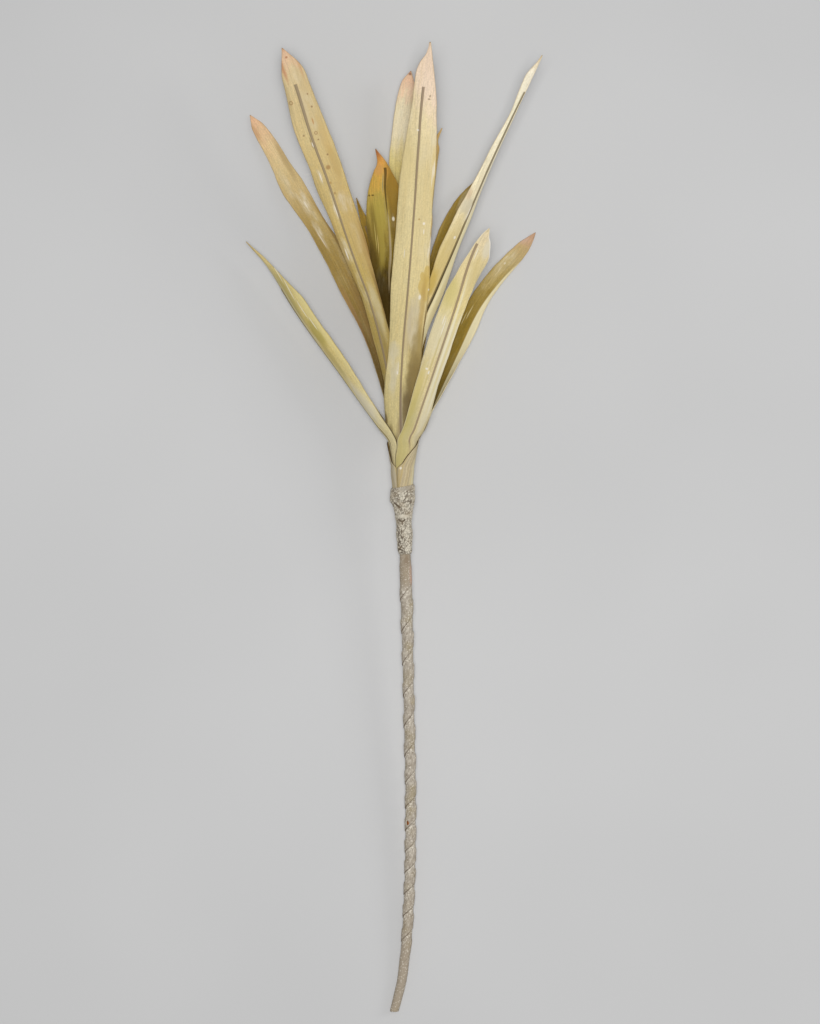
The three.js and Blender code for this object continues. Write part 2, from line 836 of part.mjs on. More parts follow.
const shaded = ["leaf_back_left", "leaf_back_right", "leaf_inner_left", "leaf_inner_front"];
const leafStem = new THREE.Group();
leafStem.name = "dried_pineapple_leaf_stem";
LEAVES.forEach((leaf, order) => {
  const plain = shaded.includes(leaf.name) ? COLOUR.shadedLeaf : COLOUR.leaf;
  const colour = leaf.base ? plain : COLOUR.sheath;
  leafStem.add(named(leaf.name, leafGeometry(leaf, order), colour, 0.7));
});
leafStem.add(named("stem_rod", rodGeometry(), COLOUR.stem, 0.8));
leafStem.add(named("stem_wrap", tornTape(), COLOUR.tape, 0.9));
leafStem.add(named("neck_binding", bindingGeometry(), COLOUR.binding, 0.95));

export default leafStem;
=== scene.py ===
"""A dried pineapple leaf stem, lying on its back on a pale floor.

Twelve dried leaves fan out of one sheath, a rough binding holds the sheath's foot, and tape is wound
down the long thin stem. Tables are in millimetres, meshes in metres, +Y towards the leaf tips.
"""
import math

import bmesh
import bpy
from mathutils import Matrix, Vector, noise


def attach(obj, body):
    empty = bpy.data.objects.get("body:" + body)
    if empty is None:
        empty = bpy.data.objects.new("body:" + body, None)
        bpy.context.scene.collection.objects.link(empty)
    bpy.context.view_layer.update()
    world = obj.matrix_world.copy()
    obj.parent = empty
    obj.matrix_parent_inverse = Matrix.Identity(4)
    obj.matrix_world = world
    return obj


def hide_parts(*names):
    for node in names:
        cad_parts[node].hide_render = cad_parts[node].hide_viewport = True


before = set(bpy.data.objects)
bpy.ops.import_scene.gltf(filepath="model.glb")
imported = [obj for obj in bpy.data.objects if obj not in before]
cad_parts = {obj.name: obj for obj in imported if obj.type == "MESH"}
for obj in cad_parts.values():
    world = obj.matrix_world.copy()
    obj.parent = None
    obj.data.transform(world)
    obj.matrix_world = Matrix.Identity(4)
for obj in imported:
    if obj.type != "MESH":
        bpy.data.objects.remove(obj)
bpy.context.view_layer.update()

bl_info = {
    "name": "Dried pineapple leaf stem",
    "version": (1, 0, 0),
    "blender": (4, 5, 0),
    "location": "3D View > Sidebar > Leaf stem",
    "description": "Builds the leaves, the bound neck and the taped stem round the packed frame",
    "category": "Object",
}

MM = 0.001

# Distance under which two points are one, in metres
SAME_POINT = 4e-7

# The stage in metres: the floor, the lights as name, place, size and setting, the point that the camera
# stands over, and the height of the plane that the view is measured in
FLOOR_RADIUS = 9.0
FLOOR_DROP = 0.0003
LIGHTS = [
    ("softbox", (0.02, 0.05, 3.3), 0.8, "key_power"),
    ("lens_light", (0.018, 0.024, 3.2), 0.25, "lens_power"),
    ("side_softbox", (3.0, 0.8, 1.7), 1.2, "side_power"),
]
CAMERA_OVER = (0.018, 0.024)
VIEW_PLANE = 0.04

# The sheath round the leaf bases as y, radius, degrees its middle looks, degrees each half reaches round,
# and how far it has moved right from the middle of the stem
SHEATH = [
    (34, 9.3, 300, 179.3, 0), (50, 10.1, 300, 179.3, 0), (68, 11.4, 300, 179.2, 0), (74, 12.2, 299, 152, 0),
    (80, 13.2, 295, 139, 0), (86, 14.2, 290, 122, 0), (92, 15.4, 285, 100, 0), (98, 16.0, 302, 76, 1.0),
    (104, 16.5, 319, 58, 3.4), (110, 17.0, 322, 56, 6.7),
]

# Leaf bases nest in five layers, the outermost first: share of the way from the stem to the sheath
LAYER_SHARE = [0.9, 0.8, 0.6, 0.37, 0.16]
NESTED_TO = 92

# Middle line of the stem as y, x, z
STEM_LINE = [
    (-481, 2, 3.7), (-449, 9.8, 4.5), (-400, 15.2, 7.2), (-364, 17, 9.2), (-328, 18.2, 11.4),
    (-266, 18.6, 15), (-185, 17.2, 19.8), (-105, 15.5, 24.6), (-24, 13.3, 29.4), (26, 11.5, 32.6),
    (49, 10.6, 34.3), (95, 10.6, 37.5),
]

# Stem under the tape as y, radius
ROD_RADIUS = [(-480, 2.8), (-400, 3.7), (-100, 4.0), (58, 4.0)]

# How much fuller it is drawn, how far it reaches past both ends, the share of its radius that is left there,
# and the height and length of its unevenness
ROD_SPARE = 0.45
ROD_PAST_ENDS = (0.3, 1.5)
ROD_END_SHARE = 0.6
ROD_UNEVEN = (0.12, 14)

# Tape: radius of one layer as y, radius; where each turn's edge stands as turn, y; height of the step at
# an edge as y, height
TAPE_ENDS = (-481, 29)
TAPE_RADIUS = [
    (-481, 4.3), (-452, 4.8), (-400, 5.0), (-250, 5.1), (-150, 5.2), (-70, 5.8), (-32, 6.1), (-21, 5.5),
    (29, 5.5),
]
TAPE_TURNS = [(-5, -565), (0, -411), (7, -250), (14.5, -18), (20, 150)]
TAPE_STEP = [(-481, 0.15), (-425, 0.3), (-400, 1.0), (-64, 1.2), (-50, 0.4), (-44, 0), (29, 0)]

# How unevenly a turn climbs, as a share of a turn: steeper on the side that faces up
TAPE_SWAY = 0.06

# Profile across one turn: millimetres above its edge, and the share of the step that stands there
TAPE_PROFILE = [(0, 0), (0.35, 0.6), (0.9, 0.7), (6, 0.8), (11, 1), (12.2, 0.85), (13.3, 0.12), (16, 0)]

# How far a turn's edge strays, with the lumps along one turn and the place in the noise
EDGE_STRAY = 0.35
EDGE_LUMPS = (9, 3.1, 0.7)

# Rows of the mesh above a turn's edge, and how far below its end the tape is cut
CLOSE_ROWS = (0.0, 0.18, 0.4, 0.8, 1.3)
TAPE_CUT = 0.2

# Grain pressed on the tape: heights between which it sets in, how much longer than wide it is, size and
# share of the finer one, its middle and its gain, and the level that stands at the tape's own radius
TAPE_ROUGH_FROM = (-440, -395)
GRAIN_DRAWN = 0.4
FINE_GRAIN = (2.1, 0.5)
GRAIN_MIDDLE = 0.5
GRAIN_GAIN = 0.8
GRAIN_LEVEL = 0.8

# Where the tape is barer, as the height at which that starts, the one at which it is full, and its strength
TAPE_BARE = [(-58, -45, 0.75), (-340, -425, 0.6)]

# Stains on the tape as tint, x, y, half width, half length
TAPE_STAINS = [
    ("BFA18E", 18.9, -38, 1.5, 10), ("C49A80", 19.3, -44, 0.7, 5), ("E8E0D2", 11.7, -56.5, 1.5, 1.6),
    ("8C7B66", 14.6, -25, 2.6, 6),
]
STAIN_SPAN = (1.4, 0.5)
STAIN_STRENGTH = 0.75

# The small tear through which the stem shows
TAPE_TEAR = {"y": -289, "degrees": 122, "wide": 3.0, "long": 5.0}

# Binding round the foot of the sheath as y, radius, and its knob on the left
BINDING_OUTSIDE = [
    (-18, 6.9), (-14, 7.4), (-6, 7.6), (3, 8.3), (9, 7.7), (13, 7.7), (20, 8.6), (26, 9.3), (32, 11.2),
    (38, 12.2), (46, 12.1), (50, 11.8),
]
BINDING_KNOB = {"y": 38.5, "degrees": 185, "height": 0.9, "reach": 9, "spread": 40}

# Marks on its upper side as x, y, half length, half width, degrees it runs, and how high the fibre stands
# there: below 0 is a crease, darkened with painted shade, and 1 is a smooth pale fold.
BINDING_MARKS = [
    (14, 47, 8, 2.6, 8, 0.42), (5.2, 30.5, 4.8, 0.9, -39, -0.6), (11.5, 19.7, 6.4, 1.9, 0, 1),
    (8, 15.4, 2.8, 0.9, -34, -0.3), (11.8, 15.4, 2.3, 0.9, 38, -0.3), (10, 12.6, 1.9, 0.8, 90, -0.3),
    (8, -13.6, 3.6, 0.7, -18, -0.4),
]

# Its rim rises by a tilt over a reach to the right, more and more from a height up
RIM_TILT = 2.2
RIM_REACH = 12
RIM_FROM = 30

# Inside, its bore widens between two heights from the tape to the sheath, with a clearance round each. Its
# ends are rounded: how far in the bore starts, how far each rounding reaches, the least wall, and the share
# of the wall that is left at an end
SEAT_FROM = (30, 33)
SEAT_SPARE = 0.4
TAPE_SPARE = 0.1
LIP = 0.8
LIP_REACH = (3.5, 2.0)
LEAST_WALL = 0.35
EDGE_SHARE = 0.25

# Crumbs of fibre: size and reach of the twist in their outline, the distances between crumbs over which a gap
# closes, size and height of the lumps under them, the level that stands at the binding's own radius, and the
# level inside it
CRUMB_TWIST = (2.6, 1.3)
CRUMB_GAP = (0.02, 0.34)
LUMP = (6.5, 0.3)
CRUMB_RELIEF = 0.85
INSIDE_RELIEF = 0.2

# How fully the marks are pressed in, and the span of their soft edge in shares of a mark
PRESSED = 0.85
PRESS_SPAN = (0.5, 1.3)

# The twist of its crumbs is noise whose offsets come from a seed, set so that each run gives the same crumbs
NOISE_SEED = 1

# Where the leaf changes towards its foot, as distances from the foot: the midrib and the wave die out, and
# the cross-sections turn from square to the leaf to square to the stem
MIDRIB_FADE = (62, 50)
WAVE_FADE = (130, 70)
SQUARE_FADE = (95, 62)

# The wave of the margins: its length, its shift from leaf to leaf, and the half width at which it is full
WAVE_LENGTH = 105
WAVE_SHIFT = 2.4
WAVE_HALF_WIDTH = 12

# Mesh rows of a blade: how far the tip, the midrib's start and the mouth of the sheath reach, and the step
# between rows at the tip, above that start, round it, down the blade and round the mouth
TIP_REACH = 14
RIB_START_REACH = 1.4
MOUTH_REACH = 80
ROW_STEPS = (0.9, 2.0, 0.35, 2.2, 1.1)

# Mesh columns of a blade: those beside the midrib in half widths of it, the one next to the margin in
# millimetres from it, and the most of the blade's half width that each may take
RIB_COLUMNS = (0.34, 0.64, 0.86, 1.0, 1.16)
RIB_COLUMNS_SHARE = 0.6
RIM_COLUMN = 0.35
RIM_COLUMN_SHARE = 0.06

# Unevenness of a blade: distances from the tip over which it sets in at the margins and on the faces, the
# margins' noise as length, seed and share, the creases as width, length and seed, and the cockles as length,
# seed and shift
RAGGED_FROM = (5, 26)
CRUMPLE_FROM = (2, 20)
RAGGED_SEED = 7.3
RAGGED_NOISE = [(13, 5.1, 1), (3.1, 9.7, 0.4)]
CRUMPLE = (8, 46, 3.7)
COCKLE = (31, 5.9, 40)

# Distances from the midrib's start between which it rises
RIB_RISE = (-0.7, 0.5)

# Each leaf from its tip down. midrib holds x, y, z. blade holds the distance from the tip, the width left
# and right of the midrib, the way the outer face looks and how far each half curls, in degrees. base
# holds the nesting layer, the angle round the stem and how far each half reaches round it, and base_sides
# how far the left and the right half reach where they differ, as y, left, right. rib is where the midrib
# starts, rib_path how far it strays from the middle line, rib_half half the width it is drawn at its
# start and 150 mm on. tints are the colours of the outer face at distances from the tip, and tilt how
# much later they come on the right. inner is the colour of the other face, or inner_tints its colours at
# distances. tone weakens the tones that all leaves share and gloss is the specular level. margin is the
# line along both margins as tint, strength. rims are tinted stretches of a margin as tint, side (-1 left,
# 1 right, 0 both), strengths at distances from the tip. washes are chalky areas as across, along, half
# width, half length, strength. patches are other tints with their colour first and how soft their edge
# is. marks are spots with their colour first, and the word ring last where they are rings.
# Where a leaf's tints, patches, rims and marks stand for painted shade and painted light, a comment at that
# leaf says so.
LEAVES = [
    {
        "name": "leaf_front_centre", "slot": "leaf_straw", "base": (2, 98, 55),
        "midrib": [
            (38, 481.35, 121), (32.5, 440, 113), (27, 390, 103), (22, 318, 88), (16, 243, 72),
            (10.5, 179, 59), (8.5, 130, 51),
        ],
        "blade": [
            (0, 0.4, 0.4, 92, 8), (11, 2.6, 3.2, 92, 10), (21, 7.8, 5.6, 92, 12), (31, 10.3, 8.2, 92, 14),
            (60, 11, 14.0, 93, 18), (90, 13.3, 17.6, 94, 22), (125, 16.2, 18.4, 95, 24),
            (158, 17.8, 17.7, 95, 25), (177, 18.3, 19.2, 95, 25), (197, 18.2, 19.2, 95, 26),
            (245, 17.8, 20.9, 95, 26), (310, 15.5, 20, 96, 30), (355, 18.5, 17, 97, 38),
            (380, 17.5, 15, 97, 44),
        ],
        "rib": 44, "rib_path": [(0, -1.2), (44, -1.2), (70, -0.8), (100, 0), (460, 0)],
        "rib_half": (1.25, 0.85), "rib_tint": "84705A",
        "tints": [
            (0, "DDC0A0"), (6, "EAD0B6"), (44, "EED6BC"), (74, "EAD8AC"), (120, "E2D09C"), (200, "E2D09A"),
            (300, "D9C78E"), (420, "CDBD84"),
        ],
        "tilt": 1.1, "inner": "C4B277",
        # Patches 97824C, 806C3C and 6E5C36 on the right half are painted shadow of leaf_lower_front_right.
        # 5E4A28 and the two 7A6638 at the left of the foot are painted shadow of leaf_left_narrow. 6E5426,
        # the dark line down the right margin, is partly grime and partly painted shade.
        "patches": [
            ("DBC27F", 16.5, 130, 2.6, 26, 0.5, 0.6), ("D8C48A", -9, 120, 7, 26, 0.6, 0.5),
            ("CDB060", 13.2, 229, 2.4, 3.6, 0.2, 0.8), ("CDB060", 17.6, 227, 3.6, 9, 0.2, 0.8),
            ("CDB060", 14.2, 239, 4.6, 8.5, 0.12, 0.8), ("CDB060", 18, 241, 4, 13, 0.2, 0.75),
            ("B48A50", 18.8, 172, 0.8, 44, 0.6, 0.6), ("6E5426", 19.9, 292, 1.1, 36, 0.5, 0.9),
            ("B89A58", 15.5, 262, 2.6, 30, 0.5, 0.7), ("BBA985", 3.4, 283, 3.2, 26, 0.4, 0.5),
            ("BFB296", 8.5, 272, 5, 24, 0.5, 0.5), ("D9CDB0", 10.5, 292, 4, 15, 0.4, 0.55),
            ("97824C", 14.5, 322, 8.5, 42, 0.35, 0.8), ("806C3C", 13.5, 352, 9.5, 44, 0.35, 0.8),
            ("5E4A28", -16.5, 374, 2.2, 6, 0.5, 0.7), ("7A6638", -10.4, 385, 2.6, 7, 0.5, 0.5),
            ("7A6638", -5.4, 395, 2.6, 7, 0.5, 0.5), ("6E5C36", 6.5, 374, 6, 34, 0.4, 0.85),
            ("9A8660", -1.2, 388, 3, 16, 0.5, 0.7), ("CDB984", 9, 150, 9, 62, 0.5, 0.35),
            ("A5967C", 0.4, 368, 1.5, 26, 0.4, 0.8), ("D2C8A8", -9, 306, 6, 8, 0.5, 0.6),
            ("CFC6AA", -8, 332, 3, 16, 0.5, 0.5),
        ],
        "washes": [
            (14.5, 92, 4, 14, 0.8), (-14, 68, 5, 26, 0.4), (12, 196, 7, 22, 0.5), (6, 112, 8, 16, 0.4),
            (8, 274, 6, 28, 0.95), (-9, 322, 6, 26, 0.85),
        ],
        "marks": [
            ("A08A70", 6.7, 55, 1.6, 1.0), ("9A8468", 7.4, 52, 0.9, 1.6), ("F0E8DA", -1.6, 86, 1.3, 1.2),
            ("F2EADC", 10.5, 177, 1.4, 1.6), ("EDE4D2", 11, 185, 0.7, 3), ("B08C50", 5.5, 173, 1.1, 1.0),
            ("EFE6D4", 16.6, 123, 0.7, 9), ("EDE4D0", 15.2, 130, 0.5, 12), ("EDE4D0", 18.5, 198, 0.6, 9),
            ("E9DFC8", 17, 206, 0.6, 6), ("E6DCC4", -6.5, 208, 0.6, 5), ("EAE0CC", 20.5, 242, 1.2, 1.2),
            ("EFE8DA", 12, 250, 1.4, 2.8), ("F0EADF", -4, 327, 0.9, 2), ("F1EADF", 17.4, 22, 0.5, 22),
            ("DFD5BE", -3.6, 322, 0.8, 7),
        ],
    },
    {
        "name": "leaf_front_left", "slot": "leaf_straw", "base": (3, 125, 38),
        "midrib": [
            (-107.8, 480, 92), (-95.2, 446, 87), (-79.7, 396, 80), (-63, 351, 73), (-46.5, 302, 65),
            (-33.7, 266, 59.5), (-20.8, 231, 54), (-6, 171, 46.5), (2.5, 112, 42.5),
        ],
        "blade": [
            (0, 0.4, 0.4, 92, 8), (7, 3.0, 4.4, 92, 10), (17, 7.2, 10, 93, 12), (27, 10.6, 13.3, 94, 14),
            (47, 13, 14.6, 95, 18), (79, 14.6, 17.2, 96, 20), (111, 13.4, 18.9, 98, 22),
            (143, 15, 18.4, 100, 24), (178, 10.6, 17.6, 103, 26), (199, 10.3, 17, 106, 27),
            (231, 9.6, 14.8, 110, 30), (262, 9, 11.6, 112, 32), (290, 8.4, 10.4, 114, 34),
            (320, 8, 10, 116, 36),
        ],
        "rib": 38, "rib_half": (1.5, 0.9), "rib_tint": "8D7C64",
        "tints": [
            (0, "B98A66"), (5, "DDB593"), (16, "DFBD98"), (26, "DAC294"), (60, "D7C08C"), (110, "D2BA80"),
            (170, "CCB372"), (240, "BEA55C"), (330, "A68F4C"),
        ],
        "inner": "B9A667",
        "patches": [
            ("BFA468", 13, 122, 4.5, 16, 0.3, 0.7), ("C9A864", 12, 96, 4, 20, 0.5, 0.5),
            ("A8884C", 13.5, 226, 3, 34, 0.5, 0.7), ("9B7E44", -9.5, 214, 3, 40, 0.5, 0.5),
            ("C2AE80", -12, 45, 3, 24, 0.5, 0.5), ("C8B98C", 5.5, 270, 3.4, 26, 0.5, 0.6),
            ("8C7844", 2, 305, 3, 30, 0.5, 0.5), ("946C30", 15.6, 222, 1.2, 40, 0.6, 0.75),
            ("7C5A28", 11.6, 275, 1.8, 34, 0.6, 0.8), ("BC7A52", -6.4, 15, 1.8, 17, 0.6, 0.65),
            ("C58E60", 10, 22, 1.4, 13, 0.6, 0.5), ("BFA774", 8.5, 62, 8, 40, 0.5, 0.4),
            ("B89A60", 9, 180, 7, 60, 0.5, 0.4),
        ],
        "washes": [
            (5.4, 65, 6.5, 22, 0.9), (9.4, 163, 7, 12, 1.0), (-1.7, 167, 2.6, 15, 0.95),
            (-5.6, 209, 4.5, 13, 0.95), (-5.5, 132, 2.2, 9, 0.8), (6, 30, 6, 12, 0.5), (4, 272, 4, 26, 0.8),
            (-3, 245, 3, 30, 0.7), (9, 200, 4, 18, 0.5),
        ],
        "marks": [
            ("A8714C", 0.7, 10, 1.5, 1.2), ("93714A", 8.5, 50, 1.0, 1.0), ("93714A", 9, 63, 1.1, 1.2),
            ("8E6E48", -7, 88, 1.0, 1.0), ("93714A", 5.3, 96, 1.0, 0.9), ("8E6E48", 8.8, 113, 1.1, 1.1),
            ("A57E48", 4.9, 125, 2.6, 2.6), ("B08C50", 2, 140, 1.2, 1.4), ("A8854E", 2.6, 151, 1.2, 1.4),
            ("A8875A", -10, 54, 2.1, 2.1, "ring"), ("A8875A", 5.3, 89, 1.8, 1.8, "ring"),
            ("B9864C", 5.9, 77, 0.8, 4), ("8F7A4C", -2.2, 97, 0.6, 7), ("EFE6D6", -1.6, 99, 0.7, 3),
            ("EFE6D6", -5.5, 132, 0.6, 6), ("EFE7DA", -1.7, 168, 0.6, 8), ("EDE4D2", -5.9, 212, 0.9, 7),
        ],
    },
    {
        "name": "leaf_front_right", "slot": "leaf_straw", "base": (3, 44, 38),
        "midrib": [
            (148, 473, 92), (136, 449, 88.5), (119.5, 415, 83.5), (94.5, 362, 76), (65.5, 294.5, 66),
            (44, 245, 58), (27, 205, 50.5), (20.5, 172, 47), (18, 122, 43),
        ],
        "blade": [
            (0, 0.4, 0.4, 54, 8), (8, 1.8, 1.0, 54, 10), (15, 4.2, 1.3, 54, 12), (27, 6.8, 1.3, 52, 16),
            (40, 5.9, 1.7, 48, 20), (65, 4.3, 3.0, 44, 24), (98, 6.6, 4.4, 40, 26), (124, 8.2, 5.2, 36, 28),
            (153, 12.0, 6.4, 33, 30), (180, 15.2, 9.2, 34, 30), (212, 15, 10.5, 42, 30),
            (240, 12, 11.2, 50, 30), (260, 9, 12, 57, 30), (285, 7, 12.6, 62, 30), (320, 7, 14, 56, 32),
            (378, 7, 8, 46, 38),
        ],
        "rib": 40, "rib_half": (0.9, 1.5), "rib_tint": "66552F",
        "tints": [
            (0, "F2DCB4"), (20, "FAF0D8"), (60, "FAF1D2"), (110, "FCF1D0"), (160, "F8E9C2"),
            (220, "F0DCA6"), (330, "DAC490"),
        ],
        "inner": "C4B06D",
        "patches": [
            ("F0E6BC", 8.5, 236, 7.6, 76, 0.3, 0.85), ("E6DEC8", 2.6, 112, 1.6, 60, 0.5, 0.6),
            ("D2C8AC", -7, 165, 7, 9, 0.4, 0.7), ("CDAE8C", -9.5, 153, 3, 5, 0.6, 0.55),
            ("C8B26E", -7, 226, 9, 46, 0.5, 0.65), ("C8AC58", -11, 254, 8, 20, 0.3, 0.85),
            ("C2B074", 9, 262, 4, 36, 0.5, 0.5),
        ],
        "washes": [
            (-3, 30, 4, 20, 0.5), (-1.2, 167, 6, 14, 0.95), (-6, 200, 5, 16, 0.6), (-3, 120, 4, 30, 0.4),
        ],
        "marks": [
            ("F0E9DC", -5.2, 198, 1.4, 1.8), ("EEE6D6", -1.4, 170, 0.6, 10), ("EEE6D6", -4, 88, 0.5, 6),
            ("332B16", 0.2, 252, 1.0, 64),
        ],
    },
    {
        "name": "leaf_lower_front_right", "slot": "leaf_straw", "base": (0, 73, 57),
        "base_sides": [(68, 57, 57), (74, 57, 57), (80, 54, 57), (86, 46, 57), (92, 39, 57)],
        "midrib": [
            (95, 299, 133), (87.7, 292, 129.5), (77.4, 271.5, 119.5), (64, 229.5, 102.5), (44.6, 172, 81),
            (26.8, 120, 61.5), (21.9, 106, 55.2),
        ],
        "blade": [
            (0, 0.4, 0.4, 84, 8), (10, 0.9, 9.2, 84, 12), (21, 2.2, 14.6, 84, 16), (35, 4.6, 18.4, 82, 20),
            (56, 9.2, 15.6, 80, 24), (82, 14.6, 11.2, 77, 26), (115, 15.4, 9.4, 75, 28),
            (150, 14.8, 10.4, 74, 30), (180, 13.6, 11.4, 74, 33), (215, 11.4, 13.4, 73, 42),
            (231, 11.4, 13.6, 71, 47),
        ],
        "rib": 20,
        "rib_path": [(0, 0), (228, 0), (234, 1.2), (240, 3.1), (247, 2.9), (254, 1.0), (330, 0.6)],
        "rib_tint": "927C64", "margin": ("EFE4C4", 0.5),
        "rims": [
            # The dark rim on the left margin near the foot is painted shadow along the edge where this leaf
            # lies over leaf_left_narrow.
            ("5E4E2C", -1, [(236, 0), (246, 0.8), (268, 0.8), (278, 0)]),
            ("FBF4E8", 1, [(4, 0), (8, 0.9), (28, 0.9), (38, 0)]),
        ],
        "tints": [
            (0, "DCC89C"), (8, "E8D6B0"), (40, "E8D4A0"), (95, "E5D292"), (112, "E4D4A4"), (170, "DECD9C"),
            (240, "D2C290"), (297, "C4B27C"),
        ],
        "inner": "B9A667",
        "patches": [
            ("E2D8BC", 11.5, 20, 4, 12, 0.5, 0.7), ("D3C084", 8, 52, 6, 18, 0.6, 0.5),
            ("D2C382", -8.5, 76, 7.5, 18, 0.4, 0.55), ("DDD2AE", -8, 120, 8, 26, 0.5, 0.5),
            ("E0D8BC", 6.5, 170, 5, 60, 0.5, 0.6), ("D2BF74", -10, 190, 4, 40, 0.4, 0.7),
            ("CDBE70", -8.5, 74, 5, 12, 0.5, 0.35), ("F0E8CA", 3.4, 120, 1.2, 60, 0.5, 0.7),
            ("F0E8CA", 8.6, 150, 1.2, 50, 0.5, 0.6), ("E0CE8E", 6, 140, 1.0, 60, 0.5, 0.6),
            ("C6B472", -4.4, 150, 0.9, 44, 0.5, 0.6), ("B5A964", -7, 236, 6, 50, 0.5, 0.6),
        ],
        "washes": [
            (11, 18, 4, 12, 0.8), (-7.5, 157, 4, 7, 1.0), (-5, 118, 4, 24, 0.7), (5, 60, 3, 26, 0.5),
            (6, 190, 4, 50, 0.6), (-4, 215, 5, 30, 0.5),
        ],
        "marks": [
            ("F1EBDE", -7.5, 157, 1.5, 1.2), ("F1EBDE", -4.5, 160, 0.8, 2.4),
            ("EFE8D8", -4.9, 112, 0.5, 12), ("EFE8D8", -7, 104, 0.5, 6), ("EFE8D8", 3.2, 30, 0.5, 8),
        ],
    },
    {
        "name": "leaf_left_narrow", "slot": "leaf_straw", "base": (1, 150, 32),
        "base_sides": [(68, 32, 32), (74, 32, 32), (80, 32, 34), (86, 32, 36), (92, 32, 38)],
        "midrib": [
            (-147, 296, 24), (-127, 274, 25), (-93, 220.5, 28), (-49.5, 159.5, 33), (-15.5, 112, 38.5),
        ],
        "blade": [
            (0, 0.4, 0.4, 165, 10), (14, 3, 1.8, 150, 25), (32, 7.4, 4.6, 156, 44),
            (55, 10.4, 10.5, 160, 56), (85, 13, 18, 164, 62), (125, 15, 18.5, 166, 64),
            (165, 14, 17.5, 166, 62), (205, 11, 13.8, 164, 56), (228, 9, 12.2, 160, 48),
        ],
        "rib": 60, "rib_path": [(0, -1.6), (200, -1.6), (240, 0), (320, 0)], "rib_tint": "6B5830",
        # The dark rim down the right margin near the foot is painted shadow along the edge where this leaf
        # lies over leaf_front_centre.
        "rims": [("43351A", 1, [(208, 0), (224, 0.85), (264, 0.95), (276, 0.3), (311, 0.3)])],
        "tints": [
            (0, "DEC384"), (20, "DEC988"), (60, "D4C280"), (130, "D2BD76"), (190, "DACA92"),
            (250, "D8CA9A"), (311, "C8B988"),
        ],
        "inner": "A4914E",
        "patches": [
            ("B0A263", 5, 70, 5, 30, 0.5, 0.7), ("AFA055", 11, 118, 5, 16, 0.4, 0.8),
            ("A9995A", 8, 150, 3, 20, 0.5, 0.5), ("D9CFA6", 2.5, 96, 1.8, 50, 0.6, 0.7),
            ("D6CEB4", 6, 205, 6, 22, 0.5, 0.7), ("D9CC90", 17.5, 100, 3.4, 60, 0.5, 0.5),
        ],
        "washes": [(8, 200, 6, 30, 0.7), (3, 128, 3, 14, 0.8)],
        "marks": [
            ("E7DEC2", 8.2, 44, 0.6, 14), ("E9E1C8", 10.6, 66, 0.6, 14), ("E9E1C8", 12.2, 90, 0.6, 13),
            ("E9E1C8", 13.6, 108, 0.6, 9),
        ],
    },
    {
        "name": "leaf_inner_front", "slot": "leaf_olive", "base": (4, 90, 46),
        "midrib": [
            (-16.2, 384.5, 62), (-6.8, 366, 60), (-4.5, 338, 57), (-1, 307, 53), (1, 282, 51),
            (-0.5, 235, 47), (1.5, 196, 43.5), (6, 130, 41.5),
        ],
        "blade": [
            (0, 0.4, 0.4, 92, 8), (10.5, 4.8, 2.0, 92, 12), (17.4, 9.3, 3.2, 92, 16),
            (25.5, 13.2, 6.2, 92, 20), (37, 17.2, 11, 92, 23), (52, 21.8, 14.8, 92, 26),
            (76, 26, 18, 92, 28), (100, 25.5, 18.5, 92, 30), (140, 22, 17, 92, 32), (190, 16, 14, 92, 36),
            (250, 9, 9, 91, 44),
        ],
        "rib": 21, "rib_path": [(0, 0), (22, 0), (42, -1.7), (110, -1.7), (170, 0), (360, 0)],
        "rib_half": (1.3, -2.2), "rib_tint": "4A3C1D",
        # From about 100 mm down, the tints darken to near black. This is partly the leaf's own browning and
        # partly painted shade, where it lies deep between leaf_front_left and leaf_front_centre.
        "tints": [
            (0, "854E2E"), (5, "B16F3F"), (12, "DA9E4C"), (34, "D0A64E"), (50, "B8A04E"), (80, "A28C42"),
            (108, "7B6724"), (132, "483812"), (160, "2C2008"), (240, "281C06"),
        ],
        "tone": 0.4, "gloss": 0.06, "tilt": 0.0, "inner": "917A37",
        # Painted shade among these patches: 8C6C28 and 80682C on the right half stand for the shadow of
        # leaf_front_centre. 74602C and 5E4A1E along the left margin stand for the shadow of leaf_front_left.
        # 6E5A28 beside the midrib is the shaded side of its ridge, and the wide 45340C is deep shade over the
        # lower blade.
        "patches": [
            ("CE9C5C", -7, 20, 5, 8, 0.5, 0.6), ("8C6C28", 8, 42, 8, 34, 0.35, 0.85),
            ("80682C", 12, 86, 9, 30, 0.4, 0.8), ("B2A04C", -8, 68, 6, 18, 0.5, 0.7),
            ("74602C", -24, 92, 5, 24, 0.5, 0.8), ("5E4A1E", -20, 116, 6, 22, 0.5, 0.8),
            ("7A682E", -15.5, 78, 3, 24, 0.5, 0.6), ("AA9646", -9, 96, 3.2, 24, 0.5, 0.8),
            ("6E5A28", 3.4, 96, 1.8, 40, 0.5, 0.6), ("45340C", 0, 194, 34, 56, 0.35, 0.9),
        ],
        "washes": [(5, 74, 4, 6, 0.7)],
        # The first five marks, pale grey streaks on and just left of the midrib, are a painted highlight on
        # its ridge.
        "marks": [
            ("9A9068", -2.3, 36, 0.8, 11), ("A8985C", -1.8, 64, 0.6, 16), ("B0A07A", 0.2, 82, 0.9, 18),
            ("B5A586", -0.6, 104, 1.2, 20), ("A08E68", -1.6, 126, 1.0, 20), ("C8B468", -15, 88, 0.6, 16),
            ("5E4A24", -16.6, 47, 1.2, 1.0), ("5E4A24", -13, 47, 1.6, 0.9), ("5E4A24", -20, 46, 1.0, 0.9),
            ("D8C078", -13, 96, 0.5, 12), ("E4DCC6", 5, 72, 1.5, 2.4),
        ],
    },
    {
        "name": "leaf_back_left", "slot": "leaf_olive", "base": (0, 216, 32),
        "midrib": [
